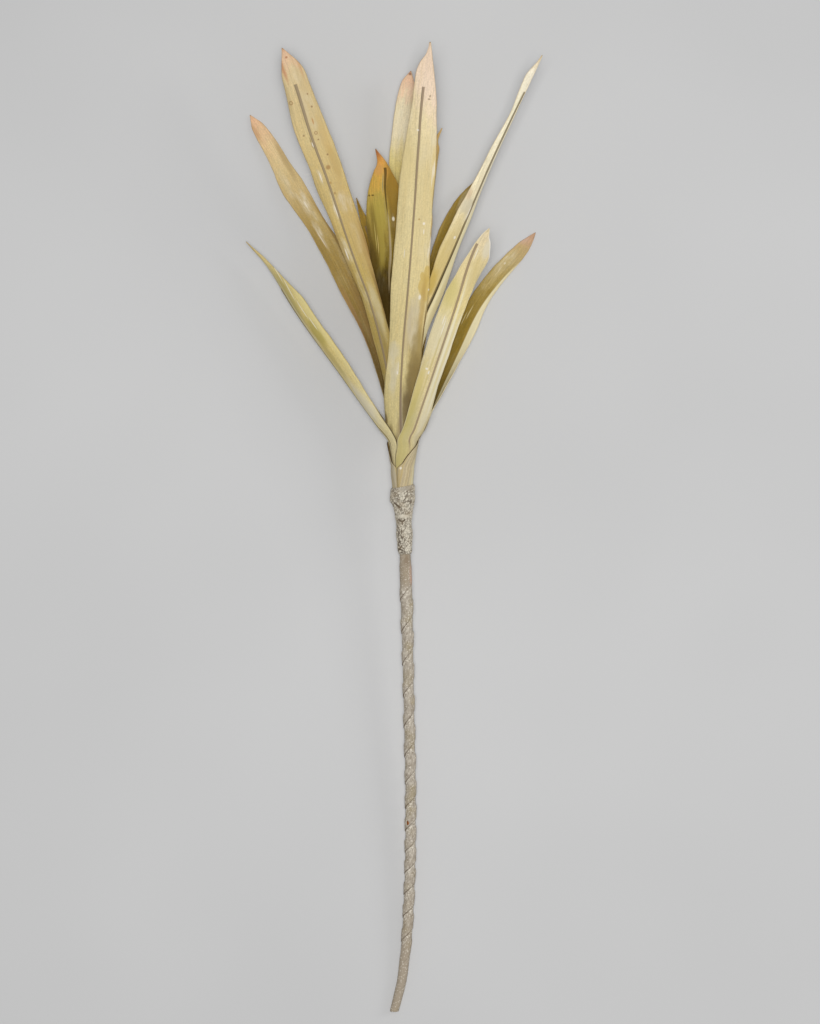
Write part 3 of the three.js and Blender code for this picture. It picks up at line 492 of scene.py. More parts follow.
            (-144, 426, 1.4), (-124.7, 395.5, 1.0), (-99.5, 350, 1.6), (-70.5, 305, 4), (-50.5, 268.5, 8),
            (-20, 197, 18), (-3.5, 138, 25), (0.5, 106, 29.5),
        ],
        "blade": [
            (0, 0.4, 0.4, 262, 8), (6, 3, 3, 262, 10), (14, 6.3, 6.3, 262, 12), (34, 8.6, 8.6, 262, 16),
            (60, 10, 9.8, 260, 20), (87, 12.6, 12.4, 258, 22), (112, 11.2, 11.6, 256, 24),
            (128, 9.9, 11.8, 255, 25), (142, 10.4, 12.6, 254, 26), (160, 12.3, 13.6, 253, 26),
            (190, 12, 13.2, 251, 27), (225, 11.5, 11.8, 248, 28), (290, 9, 9, 236, 34),
        ],
        "rib": 30,
        "tints": [
            (0, "D6A380"), (10, "DFB08C"), (28, "DABB8A"), (60, "D1BA88"), (140, "CFBB8A"), (210, "BFA569"),
            (290, "A18A44"), (428, "726133"),
        ],
        # Down the inner face, which lies uppermost, the tints darken to brown. This is partly the leaf's own
        # colour and partly painted shade, where leaf_front_left lies over it.
        "inner_tints": [
            (0, "E3B48E"), (14, "E3BB92"), (34, "E2C494"), (66, "D4BC88"), (95, "C8AF7A"), (122, "BA9F60"),
            (158, "AD9250"), (205, "A68A48"), (260, "8E733C"), (330, "6C5628"), (428, "54421A"),
        ],
        "patches": [
            ("A98E5C", -6.9, 57, 3, 22, 0.5, 0.6), ("B08858", 10.1, 236, 3.5, 34, 0.5, 0.6),
            ("CDBF9C", 2.6, 146, 1.2, 12, 0.5, 0.6), ("8A6A34", -9.6, 170, 1.4, 60, 0.5, 0.6),
            ("B98C60", 6, 18, 4, 10, 0.5, 0.5), ("8E6E3C", -3, 240, 5, 46, 0.5, 0.5),
        ],
        "washes": [
            (-2.2, 107, 5, 20, 0.9), (1.7, 134, 3, 12, 0.9), (4, 80, 4, 18, 0.6), (-6, 180, 2, 16, 0.4),
        ],
        "marks": [
            ("EDE3D0", -2.2, 107, 0.7, 5), ("E8DCC6", 3.8, 146, 0.6, 11), ("DCCDAA", 1.2, 139, 0.9, 4),
        ],
    },
    {
        "name": "leaf_back_centre", "slot": "leaf_straw", "base": (3, 270, 40),
        "midrib": [
            (18.8, 467.5, 23), (12, 409, 19), (9, 348, 17), (10, 268, 18), (12, 187, 26), (11, 125, 30.5),
        ],
        "blade": [
            (0, 0.4, 0.4, 270, 8), (12, 5.5, 8, 270, 12), (24, 9.5, 10.2, 270, 16), (60, 12, 11.8, 270, 20),
            (95, 12.5, 13.5, 270, 22), (200, 13, 13, 270, 26), (280, 11, 11, 270, 30),
            (335, 7.5, 7.5, 270, 36),
        ],
        "rib": 40,
        "tints": [(0, "C6906C"), (20, "EABE9B"), (40, "E7D2A2"), (120, "DBC98A"), (434, "B4A265")],
        "inner_tints": [
            (0, "BE8268"), (5, "E6BC9E"), (22, "EACAAA"), (32, "E6D6B2"), (66, "E6D8B6"), (88, "E0CF8C"),
            (130, "D2BE70"), (434, "A08B4A"),
        ],
        "patches": [("C9B48C", -7, 30, 4, 10, 0.5, 0.5)],
        "washes": [(5, 55, 7, 22, 0.8), (-4, 60, 5, 18, 0.4)], "marks": [("8A5F48", 0.5, 3, 1.6, 1.4)],
    },
    {
        "name": "leaf_inner_left", "slot": "leaf_olive", "base": (4, 172, 20),
        "midrib": [(-35.8, 339.5, 27), (-18.2, 282, 28), (-9, 227, 30), (-1, 176.5, 32), (4, 120, 35.5)],
        "blade": [
            (0, 0.4, 0.4, 110, 8), (14, 2.4, 2.4, 110, 14), (30, 5, 5, 112, 20), (65, 8, 8, 116, 26),
            (125, 8.5, 8.5, 124, 28), (190, 5.5, 5.5, 140, 28), (230, 3, 3, 155, 28),
        ],
        "rib": 30,
        # Its dark olive, darkening to near black towards the foot, is partly the leaf's own colour and partly
        # painted shade, where it lies between leaf_front_left and leaf_inner_front.
        "tints": [(0, "8A6A26"), (20, "A08236"), (70, "8E6E2A"), (140, "5A4216"), (311, "3A2C10")],
        "tone": 0.3, "gloss": 0.1, "inner": "8A7434",
    },
    {
        "name": "leaf_inner_right", "slot": "leaf_straw", "base": (4, 10, 22),
        "midrib": [
            (50, 407, 48), (41.5, 387.5, 46.5), (34.5, 345.5, 43), (27, 276, 38.5), (21.5, 196, 36),
            (18, 125, 36.5),
        ],
        "blade": [
            (0, 0.4, 0.4, 80, 8), (12, 2.4, 1.6, 80, 12), (22, 6, 6.6, 78, 16), (60, 8.5, 8.5, 74, 22),
            (130, 9, 9, 66, 26), (210, 7, 7, 50, 28), (285, 3.4, 3.4, 24, 28),
        ],
        "rib": 30,
        "tints": [(0, "C7A05E"), (20, "CBA867"), (60, "C9B073"), (130, "BBA361"), (377, "8F7C45")],
        "inner": "A9914F",
    },
    {
        "name": "leaf_back_right", "slot": "leaf_olive", "base": (0, 320, 35),
        "midrib": [
            (81.7, 356.5, 8), (57.4, 303.5, 13), (40, 247.5, 19.5), (28.5, 187, 25.5), (21, 125, 30),
        ],
        "blade": [
            (0, 0.4, 0.4, 284, 8), (10, 4.6, 4.6, 284, 12), (28, 9, 9, 284, 18), (60, 11.4, 11.4, 285, 22),
            (105, 10, 10.8, 288, 26), (145, 5, 10, 291, 28), (180, 4, 9, 294, 30), (240, 6, 7, 308, 36),
        ],
        # Its dark olive, on both faces, is partly the leaf's own colour and partly painted shade, where it
        # lies under leaf_front_right.
        "rib": 30, "tints": [(0, "8C7434"), (60, "907A36"), (332, "6E5C2C")], "tone": 0.5, "gloss": 0.15,
        "inner_tints": [(0, "84692C"), (14, "967C34"), (60, "8E7428"), (110, "7C6420"), (332, "4F4018")],
        "washes": [(2, 20, 3, 12, 0.4)],
    },
    {
        "name": "leaf_sheath_right", "slot": "leaf_sheath", "base": None,
        "midrib": [
            (145, 307, 1.5), (134, 290, 2), (109.2, 260, 3.6), (88, 229, 7.5), (68, 188.5, 12.5),
            (47.6, 149, 19), (36.5, 127, 23.5),
        ],
        "blade": [
            (0, 0.4, 0.4, 285, 10), (8, 2.5, 4.5, 286, 12), (20, 4.2, 9.6, 288, 14),
            (44, 5.2, 12.2, 290, 16), (72, 5.0, 14, 291, 18), (94, 5.9, 14.2, 292, 20),
            (120, 8.4, 15, 294, 24), (150, 8.8, 16.5, 300, 32), (184, 13, 17.5, 312, 50),
        ],
        "rib": 30,
        "tints": [
            (0, "C9987A"), (20, "CFAE86"), (60, "D0C08C"), (180, "CEC094"), (240, "C6B895"),
            (313, "BFAF8A"),
        ],
        # Down the inner face, the tints darken to olive. This is partly the leaf's own colour and partly
        # painted shade, on the far half of its fold and inside the sheath.
        "inner_tints": [
            (0, "BC9078"), (8, "C8A284"), (20, "C4A878"), (34, "C0AA74"), (60, "B49C5A"), (84, "9E843A"),
            (130, "927826"), (190, "87702E"), (313, "6A5A34"),
        ],
        "tone": 0.45, "gloss": 0.2,
        # The dark rims on both margins round the mouth are painted shadow along the sheath's edges, where
        # they lie over the leaves inside it.
        "rims": [("4A3418", 0, [(222, 0), (236, 1), (272, 1), (282, 0.2), (313, 0.15)])],
        # The first patch, pale and sharp-edged over one whole half down to near the mouth, is painted light:
        # the lit near half of the blade's lengthwise fold.
        "patches": [
            ("F7ECC2", -16.4, 112, 16, 112, 0.05, 0.95), ("D8B4A0", 5.6, 10, 3, 6, 0.6, 0.5),
            ("BFA878", -31, 292, 2.2, 16, 0.6, 0.3), ("B0A488", -34.6, 292, 1.6, 14, 0.5, 0.6),
            ("BDB298", 31.5, 290, 4.5, 16, 0.5, 0.75), ("C9B67C", 34.5, 270, 2, 12, 0.5, 0.6),
            ("E2D8B2", -16, 280, 3.5, 34, 0.5, 0.75), ("B99C5C", -33, 288, 0.9, 22, 0.5, 0.42),
            ("C0A566", -30.2, 286, 0.8, 24, 0.5, 0.42), ("A8967C", -27.4, 284, 1.1, 26, 0.5, 0.42),
            ("B8A076", -24, 288, 0.7, 20, 0.5, 0.42), ("A4937C", -21.5, 282, 0.8, 26, 0.5, 0.42),
            ("C3A86C", -18.8, 286, 0.7, 24, 0.5, 0.42), ("9E9078", 28.4, 288, 1.0, 22, 0.5, 0.42),
            ("BBA774", 25.6, 286, 0.8, 22, 0.5, 0.42),
        ],
        "washes": [(6.5, 41, 7, 14, 0.45), (8, 62, 6, 16, 0.35)],
        "marks": [
            ("EFE8D8", -31.8, 279, 1.3, 1.5), ("DCD0B4", 6.5, 44, 1.0, 1.4), ("D2C6A6", 9.4, 38, 0.7, 2.5),
            ("D2C28C", 7.4, 104, 0.6, 9), ("D2C28C", 9.6, 112, 0.5, 8),
        ],
    },
]


def srgb(code):
    """The linear colour of an sRGB hex value, with full alpha."""
    channels = [int(code[i:i + 2], 16) / 255 for i in (0, 2, 4)]
    values = [c / 12.92 if c <= 0.04045 else ((c + 0.055) / 1.055) ** 2.4 for c in channels]
    return (*values, 1.0)


def clamp(value, low=0.0, high=1.0):
    return max(low, min(high, value))


def smoothstep(value, start, end):
    """0 up to start and 1 from end, eased between them."""
    share = clamp((value - start) / (end - start))
    return share * share * (3 - 2 * share)


def smooth(rows, at, column=1):
    """A value read from rows that start with how far along they are, with no bump that the rows lack."""
    last = len(rows) - 1

    def rise(i):
        return (rows[i + 1][column] - rows[i][column]) / (rows[i + 1][0] - rows[i][0])

    def slope(i):
        if i in (0, last):
            return rise(min(i, last - 1))
        before, after = rise(i - 1), rise(i)
        return 0 if before * after <= 0 else 2 * before * after / (before + after)

    i = 0
    while i < last - 1 and at > rows[i + 1][0]:
        i += 1
    span = rows[i + 1][0] - rows[i][0]
    t = clamp((at - rows[i][0]) / span)
    away = 1 - t
    return (
        rows[i][column] * (1 + 2 * t) * away * away
        + slope(i) * span * t * away * away
        + rows[i + 1][column] * (3 - 2 * t) * t * t
        - slope(i + 1) * span * t * t * away
    )


def linear(rows, at):
    """A value read from rows on straight lines between them."""
    for (start, low), (end, high) in zip(rows, rows[1:]):
        if at <= end:
            return low + (high - low) * clamp((at - start) / (end - start))
    return rows[-1][1]


def crossings(tangent):
    """Directions across a line: to the right, and up as far as the line allows."""
    right = tangent.cross(Vector((0, 0, 1))).normalized()
    return right, right.cross(tangent)


def around(across, angle):
    """The direction at an angle round such a line: 0 right, 90 up, 180 left, 270 down."""
    right, up = across
    return right * math.cos(angle) + up * math.sin(angle)


def stem_centre(y):
    return Vector((smooth(STEM_LINE, y, 1), y, smooth(STEM_LINE, y, 2)))


def stem_tangent(y):
    return (stem_centre(y + 1) - stem_centre(y - 1)).normalized()


def stem_frame(y):
    """The middle of the stem at y and the directions across it."""
    return stem_centre(y), crossings(stem_tangent(y))


def round_stem(y, angle, radius):
    """A point at an angle and a distance from the middle of the stem."""
    centre, across = stem_frame(y)
    return centre + around(across, angle) * radius


class Blade:
    """A leaf's middle line, widths and facing, read at any distance from its tip, in millimetres."""

    def __init__(self, leaf, order, sizes):
        self.leaf = leaf
        self.order = order
        self.sizes = sizes
        nested = self.nested_base()
        line = [Vector(place) for place in leaf["midrib"]]
        for y, radius, looks, _, moved in nested:
            line.append(round_stem(y, math.radians(looks), radius) + Vector((moved, 0, 0)))
        self.length = 0
        self.places = [(0, *line[0])]
        for before, point in zip(line, line[1:]):
            self.length += (point - before).length
            self.places.append((self.length, *point))
        self.rows = list(leaf["blade"])
        nested_places = self.places[len(leaf["midrib"]):]
        for (distance, *_), (y, radius, looks, reach, _) in zip(nested_places, nested):
            left, right = reach, reach
            if "base_sides" in leaf:
                left, right = [smooth(leaf["base_sides"], y, column) for column in (1, 2)]
            half_widths = [radius * math.radians(side) for side in (left, right)]
            self.rows.append((distance, *half_widths, looks, (left + right) / 2))

    def nested_base(self):
        """The nested base from the mouth of the sheath down, in the same rows as the sheath."""
        if self.leaf["base"] is None:
            return SHEATH[::-1]
        layer, degrees, half_degrees = self.leaf["base"]
        rows = []
        for y, radius, *_ in SHEATH:
            if y <= NESTED_TO:
                stem = smooth(ROD_RADIUS, y)
                rows.append((y, stem + (radius - stem) * LAYER_SHARE[layer], degrees, half_degrees, 0))
        return rows[::-1]

    def place(self, distance):
        return Vector([smooth(self.places, distance, column) for column in (1, 2, 3)])

    def faded(self, distance, fade):
        return smoothstep(distance, self.length - fade[0], self.length - fade[1])

    def stations(self):
        """Distances from the tip of the mesh rows, close together at the tip and the midrib's start."""
        rib, length = self.leaf["rib"], self.length
        mouth = length - MOUTH_REACH if self.leaf["base"] is None else length
        ends = (0, TIP_REACH, rib - RIB_START_REACH, rib + RIB_START_REACH, mouth, length)
        stations = []
        for start, end, step in zip(ends, ends[1:], ROW_STEPS):
            count = max(1, round((end - start) / step)) if end > start else 0
            stations += [start + (end - start) * i / count for i in range(count)]
        return stations + [length]

    def section(self, distance):
        """All that the points of one cross-section share."""
        along = (self.place(distance - 1) - self.place(distance + 1)).normalized()
        middle = self.place(distance)
        normal = along.lerp(stem_tangent(middle.y), self.faded(distance, SQUARE_FADE)).normalized()
        across = crossings(normal)
        left, right, facing, curl = [smooth(self.rows, distance, column) for column in (1, 2, 3, 4)]
        facing = math.radians(facing)
        radius = (left + right) / 2 / math.radians(curl)
        loose = 1 - self.faded(distance, WAVE_FADE)
        ragged = self.sizes.ragged_margin / MM * smoothstep(distance, *RAGGED_FROM) * loose
        widths = []
        for side, width in ((-1, left), (1, right)):
            stray = 0
            for long, apart, share in RAGGED_NOISE:
                spot = Vector((distance / long, self.order * RAGGED_SEED, side * apart))
                stray += share * noise.noise(spot)
            widths.append(width + ragged * stray)
        phase = 2 * math.pi * distance / WAVE_LENGTH + self.order * WAVE_SHIFT
        rib_starts = [self.leaf["rib"] + beside for beside in RIB_RISE]
        return {
            "distance": distance,
            "across": across,
            "facing": facing,
            "radius": radius,
            "centre": middle - around(across, facing) * radius,
            "widths": widths,
            "wave": self.sizes.wave_height / MM * math.sin(phase) * loose,
            "loose": loose * smoothstep(distance, *CRUMPLE_FROM),
            "rib_at": smooth(self.leaf["rib_path"], distance) if "rib_path" in self.leaf else 0.0,
            "rib": smoothstep(distance, *rib_starts) * (1 - self.faded(distance, MIDRIB_FADE)),
        }

    def point(self, section, offset, face):
        """The point at an offset across the blade, in millimetres right of the midrib.

        face is 1 on the outer face and -1 on the inner one, and 0 at the margin between them.
        """
        width = section["widths"][0 if offset < 0 else 1]
        side = offset / width
        distance = section["distance"]
        wide, long, seed = CRUMPLE
        crumple = noise.noise(Vector((offset / wide, distance / long, self.order * seed)))
        long, seed, shift = COCKLE
        cockle = noise.noise(Vector((side, distance / long, self.order * seed + shift)))
        lift = section["radius"]
        lift += section["wave"] * side * side * min(1, width / WAVE_HALF_WIDTH)
        lift += section["loose"] * crumple * self.sizes.crumple / MM
        lift += section["loose"] * cockle * side * side * self.sizes.cockle / MM
        lift += face * self.sizes.thickness / MM / 2
        rib_half = self.sizes.midrib_width / MM / 2
        beside = abs(offset - section["rib_at"])
        if face > 0 and beside < rib_half:
            round_top = math.sqrt(1 - (beside / rib_half) ** 2)
            lift += section["rib"] * self.sizes.midrib_height / MM * round_top
        outward = around(section["across"], section["facing"] - offset / section["radius"])
        point = section["centre"] + outward * lift
        point.z = max(point.z, 0.0)
        return point

    def offsets(self, section, columns):
        """Offsets of the mesh columns, close together at the midrib and the margins."""
        rib_half = self.sizes.midrib_width / MM / 2
        rib_at = section["rib_at"]
        count = len(RIB_COLUMNS)
        halves = []
        for width in (section["widths"][0] + rib_at, section["widths"][1] - rib_at):
            most = width * RIB_COLUMNS_SHARE
            inner = [min(rib_half * share, most * (i + 1) / count) for i, share in enumerate(RIB_COLUMNS)]
            rim = width - min(RIM_COLUMN, width * RIM_COLUMN_SHARE)
            rest = columns - count - 1
            outer = [inner[-1] + (rim - inner[-1]) * (i + 1) / rest for i in range(rest)]
            halves.append(inner + outer + [width])
        left, right = halves
        return [rib_at - offset for offset in reversed(left)] + [rib_at] + [rib_at + x for x in right]


def add(tree, kind, inputs=None, out=0, **settings):
    """Add a shader node with its settings and links, and give back one of its outputs."""
    made = tree.nodes.new("ShaderNode" + kind)
    for name, value in settings.items():
        setattr(made, name, value)
    for key, value in (inputs or {}).items():
        if isinstance(value, bpy.types.NodeSocket):
            tree.links.new(value, made.inputs[key])
        else:
            made.inputs[key].default_value = value
    return made.outputs[out]


def new_material(name):
    """A material with its tree and its Principled shader."""
    material = bpy.data.materials.new(name)
    material.use_nodes = True
    tree = material.node_tree
    shader = next(node for node in tree.nodes if node.type == "BSDF_PRINCIPLED")
    return material, tree, shader


def tint_where(tree, colour, tint, value, span, most=1.0, least=0.0, times=None, eased=False):
    """Turn a colour towards a tint as a value crosses a span, by up to a share, times another value."""
    easing = "SMOOTHSTEP" if eased else "LINEAR"
    steps = {0: value, 1: span[0], 2: span[1], 3: least, 4: most}
    share = add(tree, "MapRange", steps, interpolation_type=easing)
    if times is not None:
        share = add(tree, "Math", {0: share, 1: times}, operation="MULTIPLY")
    return add(tree, "Mix", {0: share, 6: colour, 7: (*tint[:3], 1)}, out=2, data_type="RGBA")


def tint_spot(tree, colour, tint, places, spot, span, most, times=None, ring=False):
    """Tint an oval spot, given as the x and y of its middle and its half width and length.

    The span is in shares of the way from the middle to the oval's edge.
    """
    x, y, wide, long = spot
    oval = {"Vector": places, "Location": (x, y, 0), "Scale": (wide, long, ANY_DEPTH)}
    local = add(tree, "Mapping", oval, vector_type="TEXTURE")
    away = add(tree, "VectorMath", {0: local}, out="Value", operation="LENGTH")
    if ring:
        away = add(tree, "Math", {0: away, 1: RING_MIDDLE}, operation="SUBTRACT")
        away = add(tree, "Math", {0: away}, operation="ABSOLUTE")
        away = add(tree, "Math", {0: away, 1: RING_THINNESS}, operation="MULTIPLY")
    return tint_where(tree, colour, tint, away, span, most, times=times, eased=True)


def finish(tree, shader, colour, grain, roughness, relief, depth, gloss=0.5):
    """Link the colour, the roughness that follows the grain, and the bump, and set the specular level."""
    rough = {0: grain, 1: GRAIN_SPAN[0], 2: GRAIN_SPAN[1], 3: roughness[0], 4: roughness[1]}
    links = {
        "Base Color": colour,
        "Roughness": add(tree, "MapRange", rough),
        "Normal": add(tree, "Bump", {"Height": relief, "Distance": depth, "Strength": 1.0}),
    }
    for name, socket in links.items():
        tree.links.new(socket, shader.inputs[name])
    shader.inputs["Specular IOR Level"].default_value = gloss


# Levels that most of a noise pattern lies between, and a size so large that depth doesn't count in a spot
GRAIN_SPAN = (0.3, 0.7)
ANY_DEPTH = 1e6

# Where a ring's line runs in its spot, and how thin it is
RING_MIDDLE = 0.75
RING_THINNESS = 3.0

# Patterns on a blade as width and length of their features in millimetres, and detail. Real veins stand
# 0.6 to 0.8 mm apart, which is finer than a pixel, so they are drawn at twice that.
BLADE_PATTERNS = {
    "vein": (1.7, 80, 2),
    "fibre": (1.2, 7, 3),
    "streak": (4.5, 90, 3),
    "blotch": (15, 50, 4),
    "wash": (6, 20, 6),
    "edge": (5, 14, 5),
    "speck": (1.4, 1.8, 2),
}

# Tones over a whole blade as pattern, span, strength and colour, and how far patterns darken and lighten it
BLADE_TONES = [
    ("blotch", (0.5, 0.72), 0.25, "pale"), ("streak", (0.52, 0.75), 0.25, "ochre"),
    ("vein", (0.5, 0.72), 0.22, "vein"), ("fibre", (0.48, 0.3), 0.2, "pale"),
]
BLADE_SHADES = [("vein", 0.87, 1.13), ("fibre", 0.9, 1.1), ("speck", 0.91, 1.09)]

# How ragged the change from one tint to the next is, and the distances from the tip over which that begins
TINT_FRAY = 8.0
TINT_FRAY_FROM = (4.0, 20.0)

# How far a patch of at least a given half width strays from its oval, and the softness of the edge from which
# it does
PATCH_STRAY = (5.0, 22.0, 0.0)
STRAY_WIDTH = 7
CLEAN_EDGE = 0.1

# Spans of the tints in shares of a spot, and in millimetres from the margin or from the midrib's side
WASH_SPAN = (1.25, 0.6)
MARK_SPAN = (1.2, 0.5)
MARGIN_SPAN = (1.1, 0.3)
RIM_SPAN = (1.4, 0.6)
MIDRIB_SPAN = (0.35, -0.15)
MARK_STRENGTH = 0.8
MIDRIB_STRENGTH = 0.82

# The browned margin as tint and strength, half the midrib's width at its start and after its taper, and the
# distances beside its start between which the colour sets in
MARGIN = ("B09460", 0.35)
RIB_HALF = (1.15, 0.8)
RIB_TAPER = 150
RIB_BEGIN = (-0.8, 0.2)


def blade_faces(tree, leaf, frayed):
    """Colours down the outer and the inner face, as far along as frayed says."""
    faces = []
    for stops in (leaf["tints"], leaf.get("inner_tints") or [(0, leaf["inner"]), (1, leaf["inner"])]):
        end = stops[-1][0]
        share = add(tree, "MapRange", {0: frayed, 1: 0.0, 2: end, 3: 0.0, 4: 1.0})
        tinted = add(tree, "ValToRGB", {0: share})
        ramp = tinted.node.color_ramp.elements
        for distance, code in stops[1:-1]:
            ramp.new(distance / end).color = srgb(code)
        ramp[0].color = srgb(stops[0][1])
        ramp[-1].color = srgb(stops[-1][1])
        faces.append(tinted)
    return faces


def dried_leaf(blade, colours):
    """Dried pineapple leaf, pressed flat and air dried: matt, papery, with veins all along it.

    The eye sees a straw sheet streaked lengthwise, a pinker tip, chalky patches where the skin has come
    off, a darker line on both margins and a grey-brown midrib that starts bluntly short of the tip. At
    some leaves, tints, patches, rims and marks also carry painted shade and painted light.
    """
    leaf, order = blade.leaf, blade.order
    material, tree, shader = new_material("dried_" + leaf["name"])
    place = add(tree, "Attribute", out="Vector", attribute_name="blade_place")
    millimetres = add(tree, "VectorMath", {0: place, "Scale": 1 / MM}, operation="SCALE")
    across, along, margin = add(tree, "SeparateXYZ", {0: millimetres}).node.outputs
    inner_face = add(tree, "Attribute", out="Fac", attribute_name="inner_face")
    outer_face = add(tree, "Math", {0: 1.0, 1: inner_face}, operation="SUBTRACT")
    patterns = {}
    for key, (wide, long, detail) in BLADE_PATTERNS.items():
        shift = (order * 17.3, order * 5.9, order)
        scale = (1 / wide, 1 / long, 0)
        spread = add(tree, "Mapping", {"Vector": millimetres, "Location": shift, "Scale": scale})
        steps = {"Vector": spread, "Scale": 1.0, "Detail": detail, "Roughness": 0.55}
        patterns[key] = add(tree, "TexNoise", steps)

    # Colours down the leaf, which change over ragged edges that start earlier on one side. At some leaves
    # they darken with painted shade.
    low, high = GRAIN_SPAN
    uneven = add(tree, "MapRange", {0: patterns["edge"], 1: low, 2: high, 3: -TINT_FRAY, 4: TINT_FRAY})
    leant = add(tree, "Math", {0: across, 1: -leaf.get("tilt", 0.0), 2: along}, operation="MULTIPLY_ADD")
    frayed = add(tree, "Math", {0: leant, 1: uneven}, operation="ADD")
    start, end = TINT_FRAY_FROM
    off_tip = add(tree, "MapRange", {0: along, 1: start, 2: end, 3: 0.0, 4: 1.0})
    frayed = add(tree, "Mix", {0: off_tip, 2: along, 3: frayed})
    outer, inner = blade_faces(tree, leaf, frayed)
    colour = add(tree, "Mix", {0: inner_face, 6: outer, 7: inner}, out=2, data_type="RGBA")
    for key, span, strength, tint in BLADE_TONES:
        strength *= leaf.get("tone", 1.0)
        colour = tint_where(tree, colour, getattr(colours, tint), patterns[key], span, strength)
    for key, dark, light in BLADE_SHADES:
        level = add(tree, "MapRange", {0: patterns[key], 1: low, 2: high, 3: dark, 4: light})
        colour = add(tree, "VectorMath", {0: colour, "Scale": level}, operation="SCALE")

    shift = add(tree, "VectorMath", {0: patterns["edge"], 1: (0.5, 0.5, 0.5)}, operation="SUBTRACT")
    stray = add(tree, "VectorMath", {0: shift, 1: PATCH_STRAY}, operation="MULTIPLY")

    def strayed(share):
        """Places on the blade that stray by a share of the most that a patch may."""
        part = add(tree, "VectorMath", {0: stray, "Scale": share}, operation="SCALE")
        return add(tree, "VectorMath", {0: millimetres, 1: part}, operation="ADD")

    chalk = add(tree, "MapRange", {0: patterns["wash"], 1: 0.36, 2: 0.66, 3: 0.0, 4: 0.9})
    worn = add(tree, "MapRange", {0: patterns["fibre"], 1: 0.35, 2: 0.6, 3: 0.35, 4: 0.95})
    chalk = add(tree, "Math", {0: chalk, 1: worn}, operation="MULTIPLY")
    wide_places = strayed(1.0)
    for *spot, strength in leaf.get("washes", ()):
        colour = tint_spot(tree, colour, colours.chalk, wide_places, spot, WASH_SPAN, strength, times=chalk)
    # Patches carry the leaves' own tints and, at some leaves, painted shade and painted light.
    for tint, *spot, edge, strength in leaf.get("patches", ()):
        places = millimetres if edge < CLEAN_EDGE else strayed(min(1.0, spot[2] / STRAY_WIDTH))
        colour = tint_spot(tree, colour, srgb(tint), places, spot, (1 + edge, 1 - edge), strength)

    # The margin is thinner and has browned. The rims after it are tinted stretches of a margin, some of them
    # painted shadow along edges that lie over other leaves.
    brown, strength = leaf.get("margin", MARGIN)
    colour = tint_where(tree, colour, srgb(brown), margin, MARGIN_SPAN, strength, eased=True)
    for tint, side, stretches in leaf.get("rims", ()):
        reach = 0.0
        for (start, low), (end, high) in zip(stretches, stretches[1:]):
            rise = add(tree, "MapRange", {0: along, 1: start, 2: end, 3: 0.0, 4: high - low})
            reach = add(tree, "Math", {0: rise, 1: reach}, operation="ADD")
        if side != 0:
            sided = add(tree, "Math", {0: across, 1: float(side)}, operation="MULTIPLY")
            sided = add(tree, "Math", {0: sided, 1: 0.0}, operation="GREATER_THAN")
            reach = add(tree, "Math", {0: reach, 1: sided}, operation="MULTIPLY")
        colour = tint_where(tree, colour, srgb(tint), margin, RIM_SPAN, times=reach, eased=True)

    # The midrib, on the outer face only
    rib = leaf["rib"]
    first, last = leaf.get("rib_half", RIB_HALF)
    beside = add(tree, "Math", {0: across}, operation="ABSOLUTE")
    half = add(tree, "MapRange", {0: along, 1: rib, 2: rib + RIB_TAPER, 3: first, 4: last})
    beyond = add(tree, "Math", {0: beside, 1: half}, operation="SUBTRACT")
    start, end = [rib + away for away in RIB_BEGIN]
    drawn = add(tree, "MapRange", {0: along, 1: start, 2: end, 3: 0.0, 4: 1.0})
    start, end = [blade.length - fade for fade in MIDRIB_FADE]
    ended = add(tree, "MapRange", {0: along, 1: start, 2: end, 3: 1.0, 4: 0.0})
    for part in (ended, outer_face):
        drawn = add(tree, "Math", {0: drawn, 1: part}, operation="MULTIPLY")
    tint = srgb(leaf["rib_tint"]) if "rib_tint" in leaf else colours.midrib
    colour = tint_where(tree, colour, tint, beyond, MIDRIB_SPAN, MIDRIB_STRENGTH, times=drawn, eased=True)

    for tint, x, y, wide, long, *ring in leaf.get("marks", ()):
        spot = (x, y, wide, long)
        look = {"span": MARK_SPAN, "most": MARK_STRENGTH, "ring": bool(ring)}
        colour = tint_spot(tree, colour, srgb(tint), millimetres, spot, **look)

    height = add(tree, "Math", {0: patterns["vein"], 1: 0.6}, operation="MULTIPLY")
    height = add(tree, "Math", {0: patterns["fibre"], 1: 0.4, 2: height}, operation="MULTIPLY_ADD")
    finish(tree, shader, colour, patterns["fibre"], (0.58, 0.76), height, 0.35 * MM, leaf.get("gloss", 0.3))
    return material


def pressed_fibre(colours):
    """Pressed plant fibre round the neck: coarse cream crumbs with grey-brown gaps, quite matt."""
    material, tree, shader = new_material("pressed_plant_fibre")
    relief = add(tree, "Attribute", out="Fac", attribute_name="relief")
    place = add(tree, "TexCoord", out="Object")
    fine = add(tree, "TexNoise", {"Vector": place, "Scale": 1 / (1.1 * MM), "Detail": 3.0, "Roughness": 0.6})
    broad = add(tree, "TexNoise", {"Vector": place, "Scale": 1 / (9 * MM), "Detail": 2.0})
    level = add(tree, "Math", {0: fine, 1: 0.45, 2: relief}, operation="MULTIPLY_ADD")
    colour = tint_where(tree, (*colours.fibre_gap, 1), colours.fibre, level, (0.3, 1.05))
    # Painted shade where the relief is lowest, in the pressed creases and the deepest gaps between crumbs.
    colour = tint_where(tree, colour, colours.crease_shade, relief, (0.1, -0.3), 0.85)
    colour = tint_where(tree, colour, colours.dust, broad, (0.45, 0.65), 0.35)
    finish(tree, shader, colour, fine, (0.85, 0.97), fine, 0.6 * MM, 0.2)
    return material


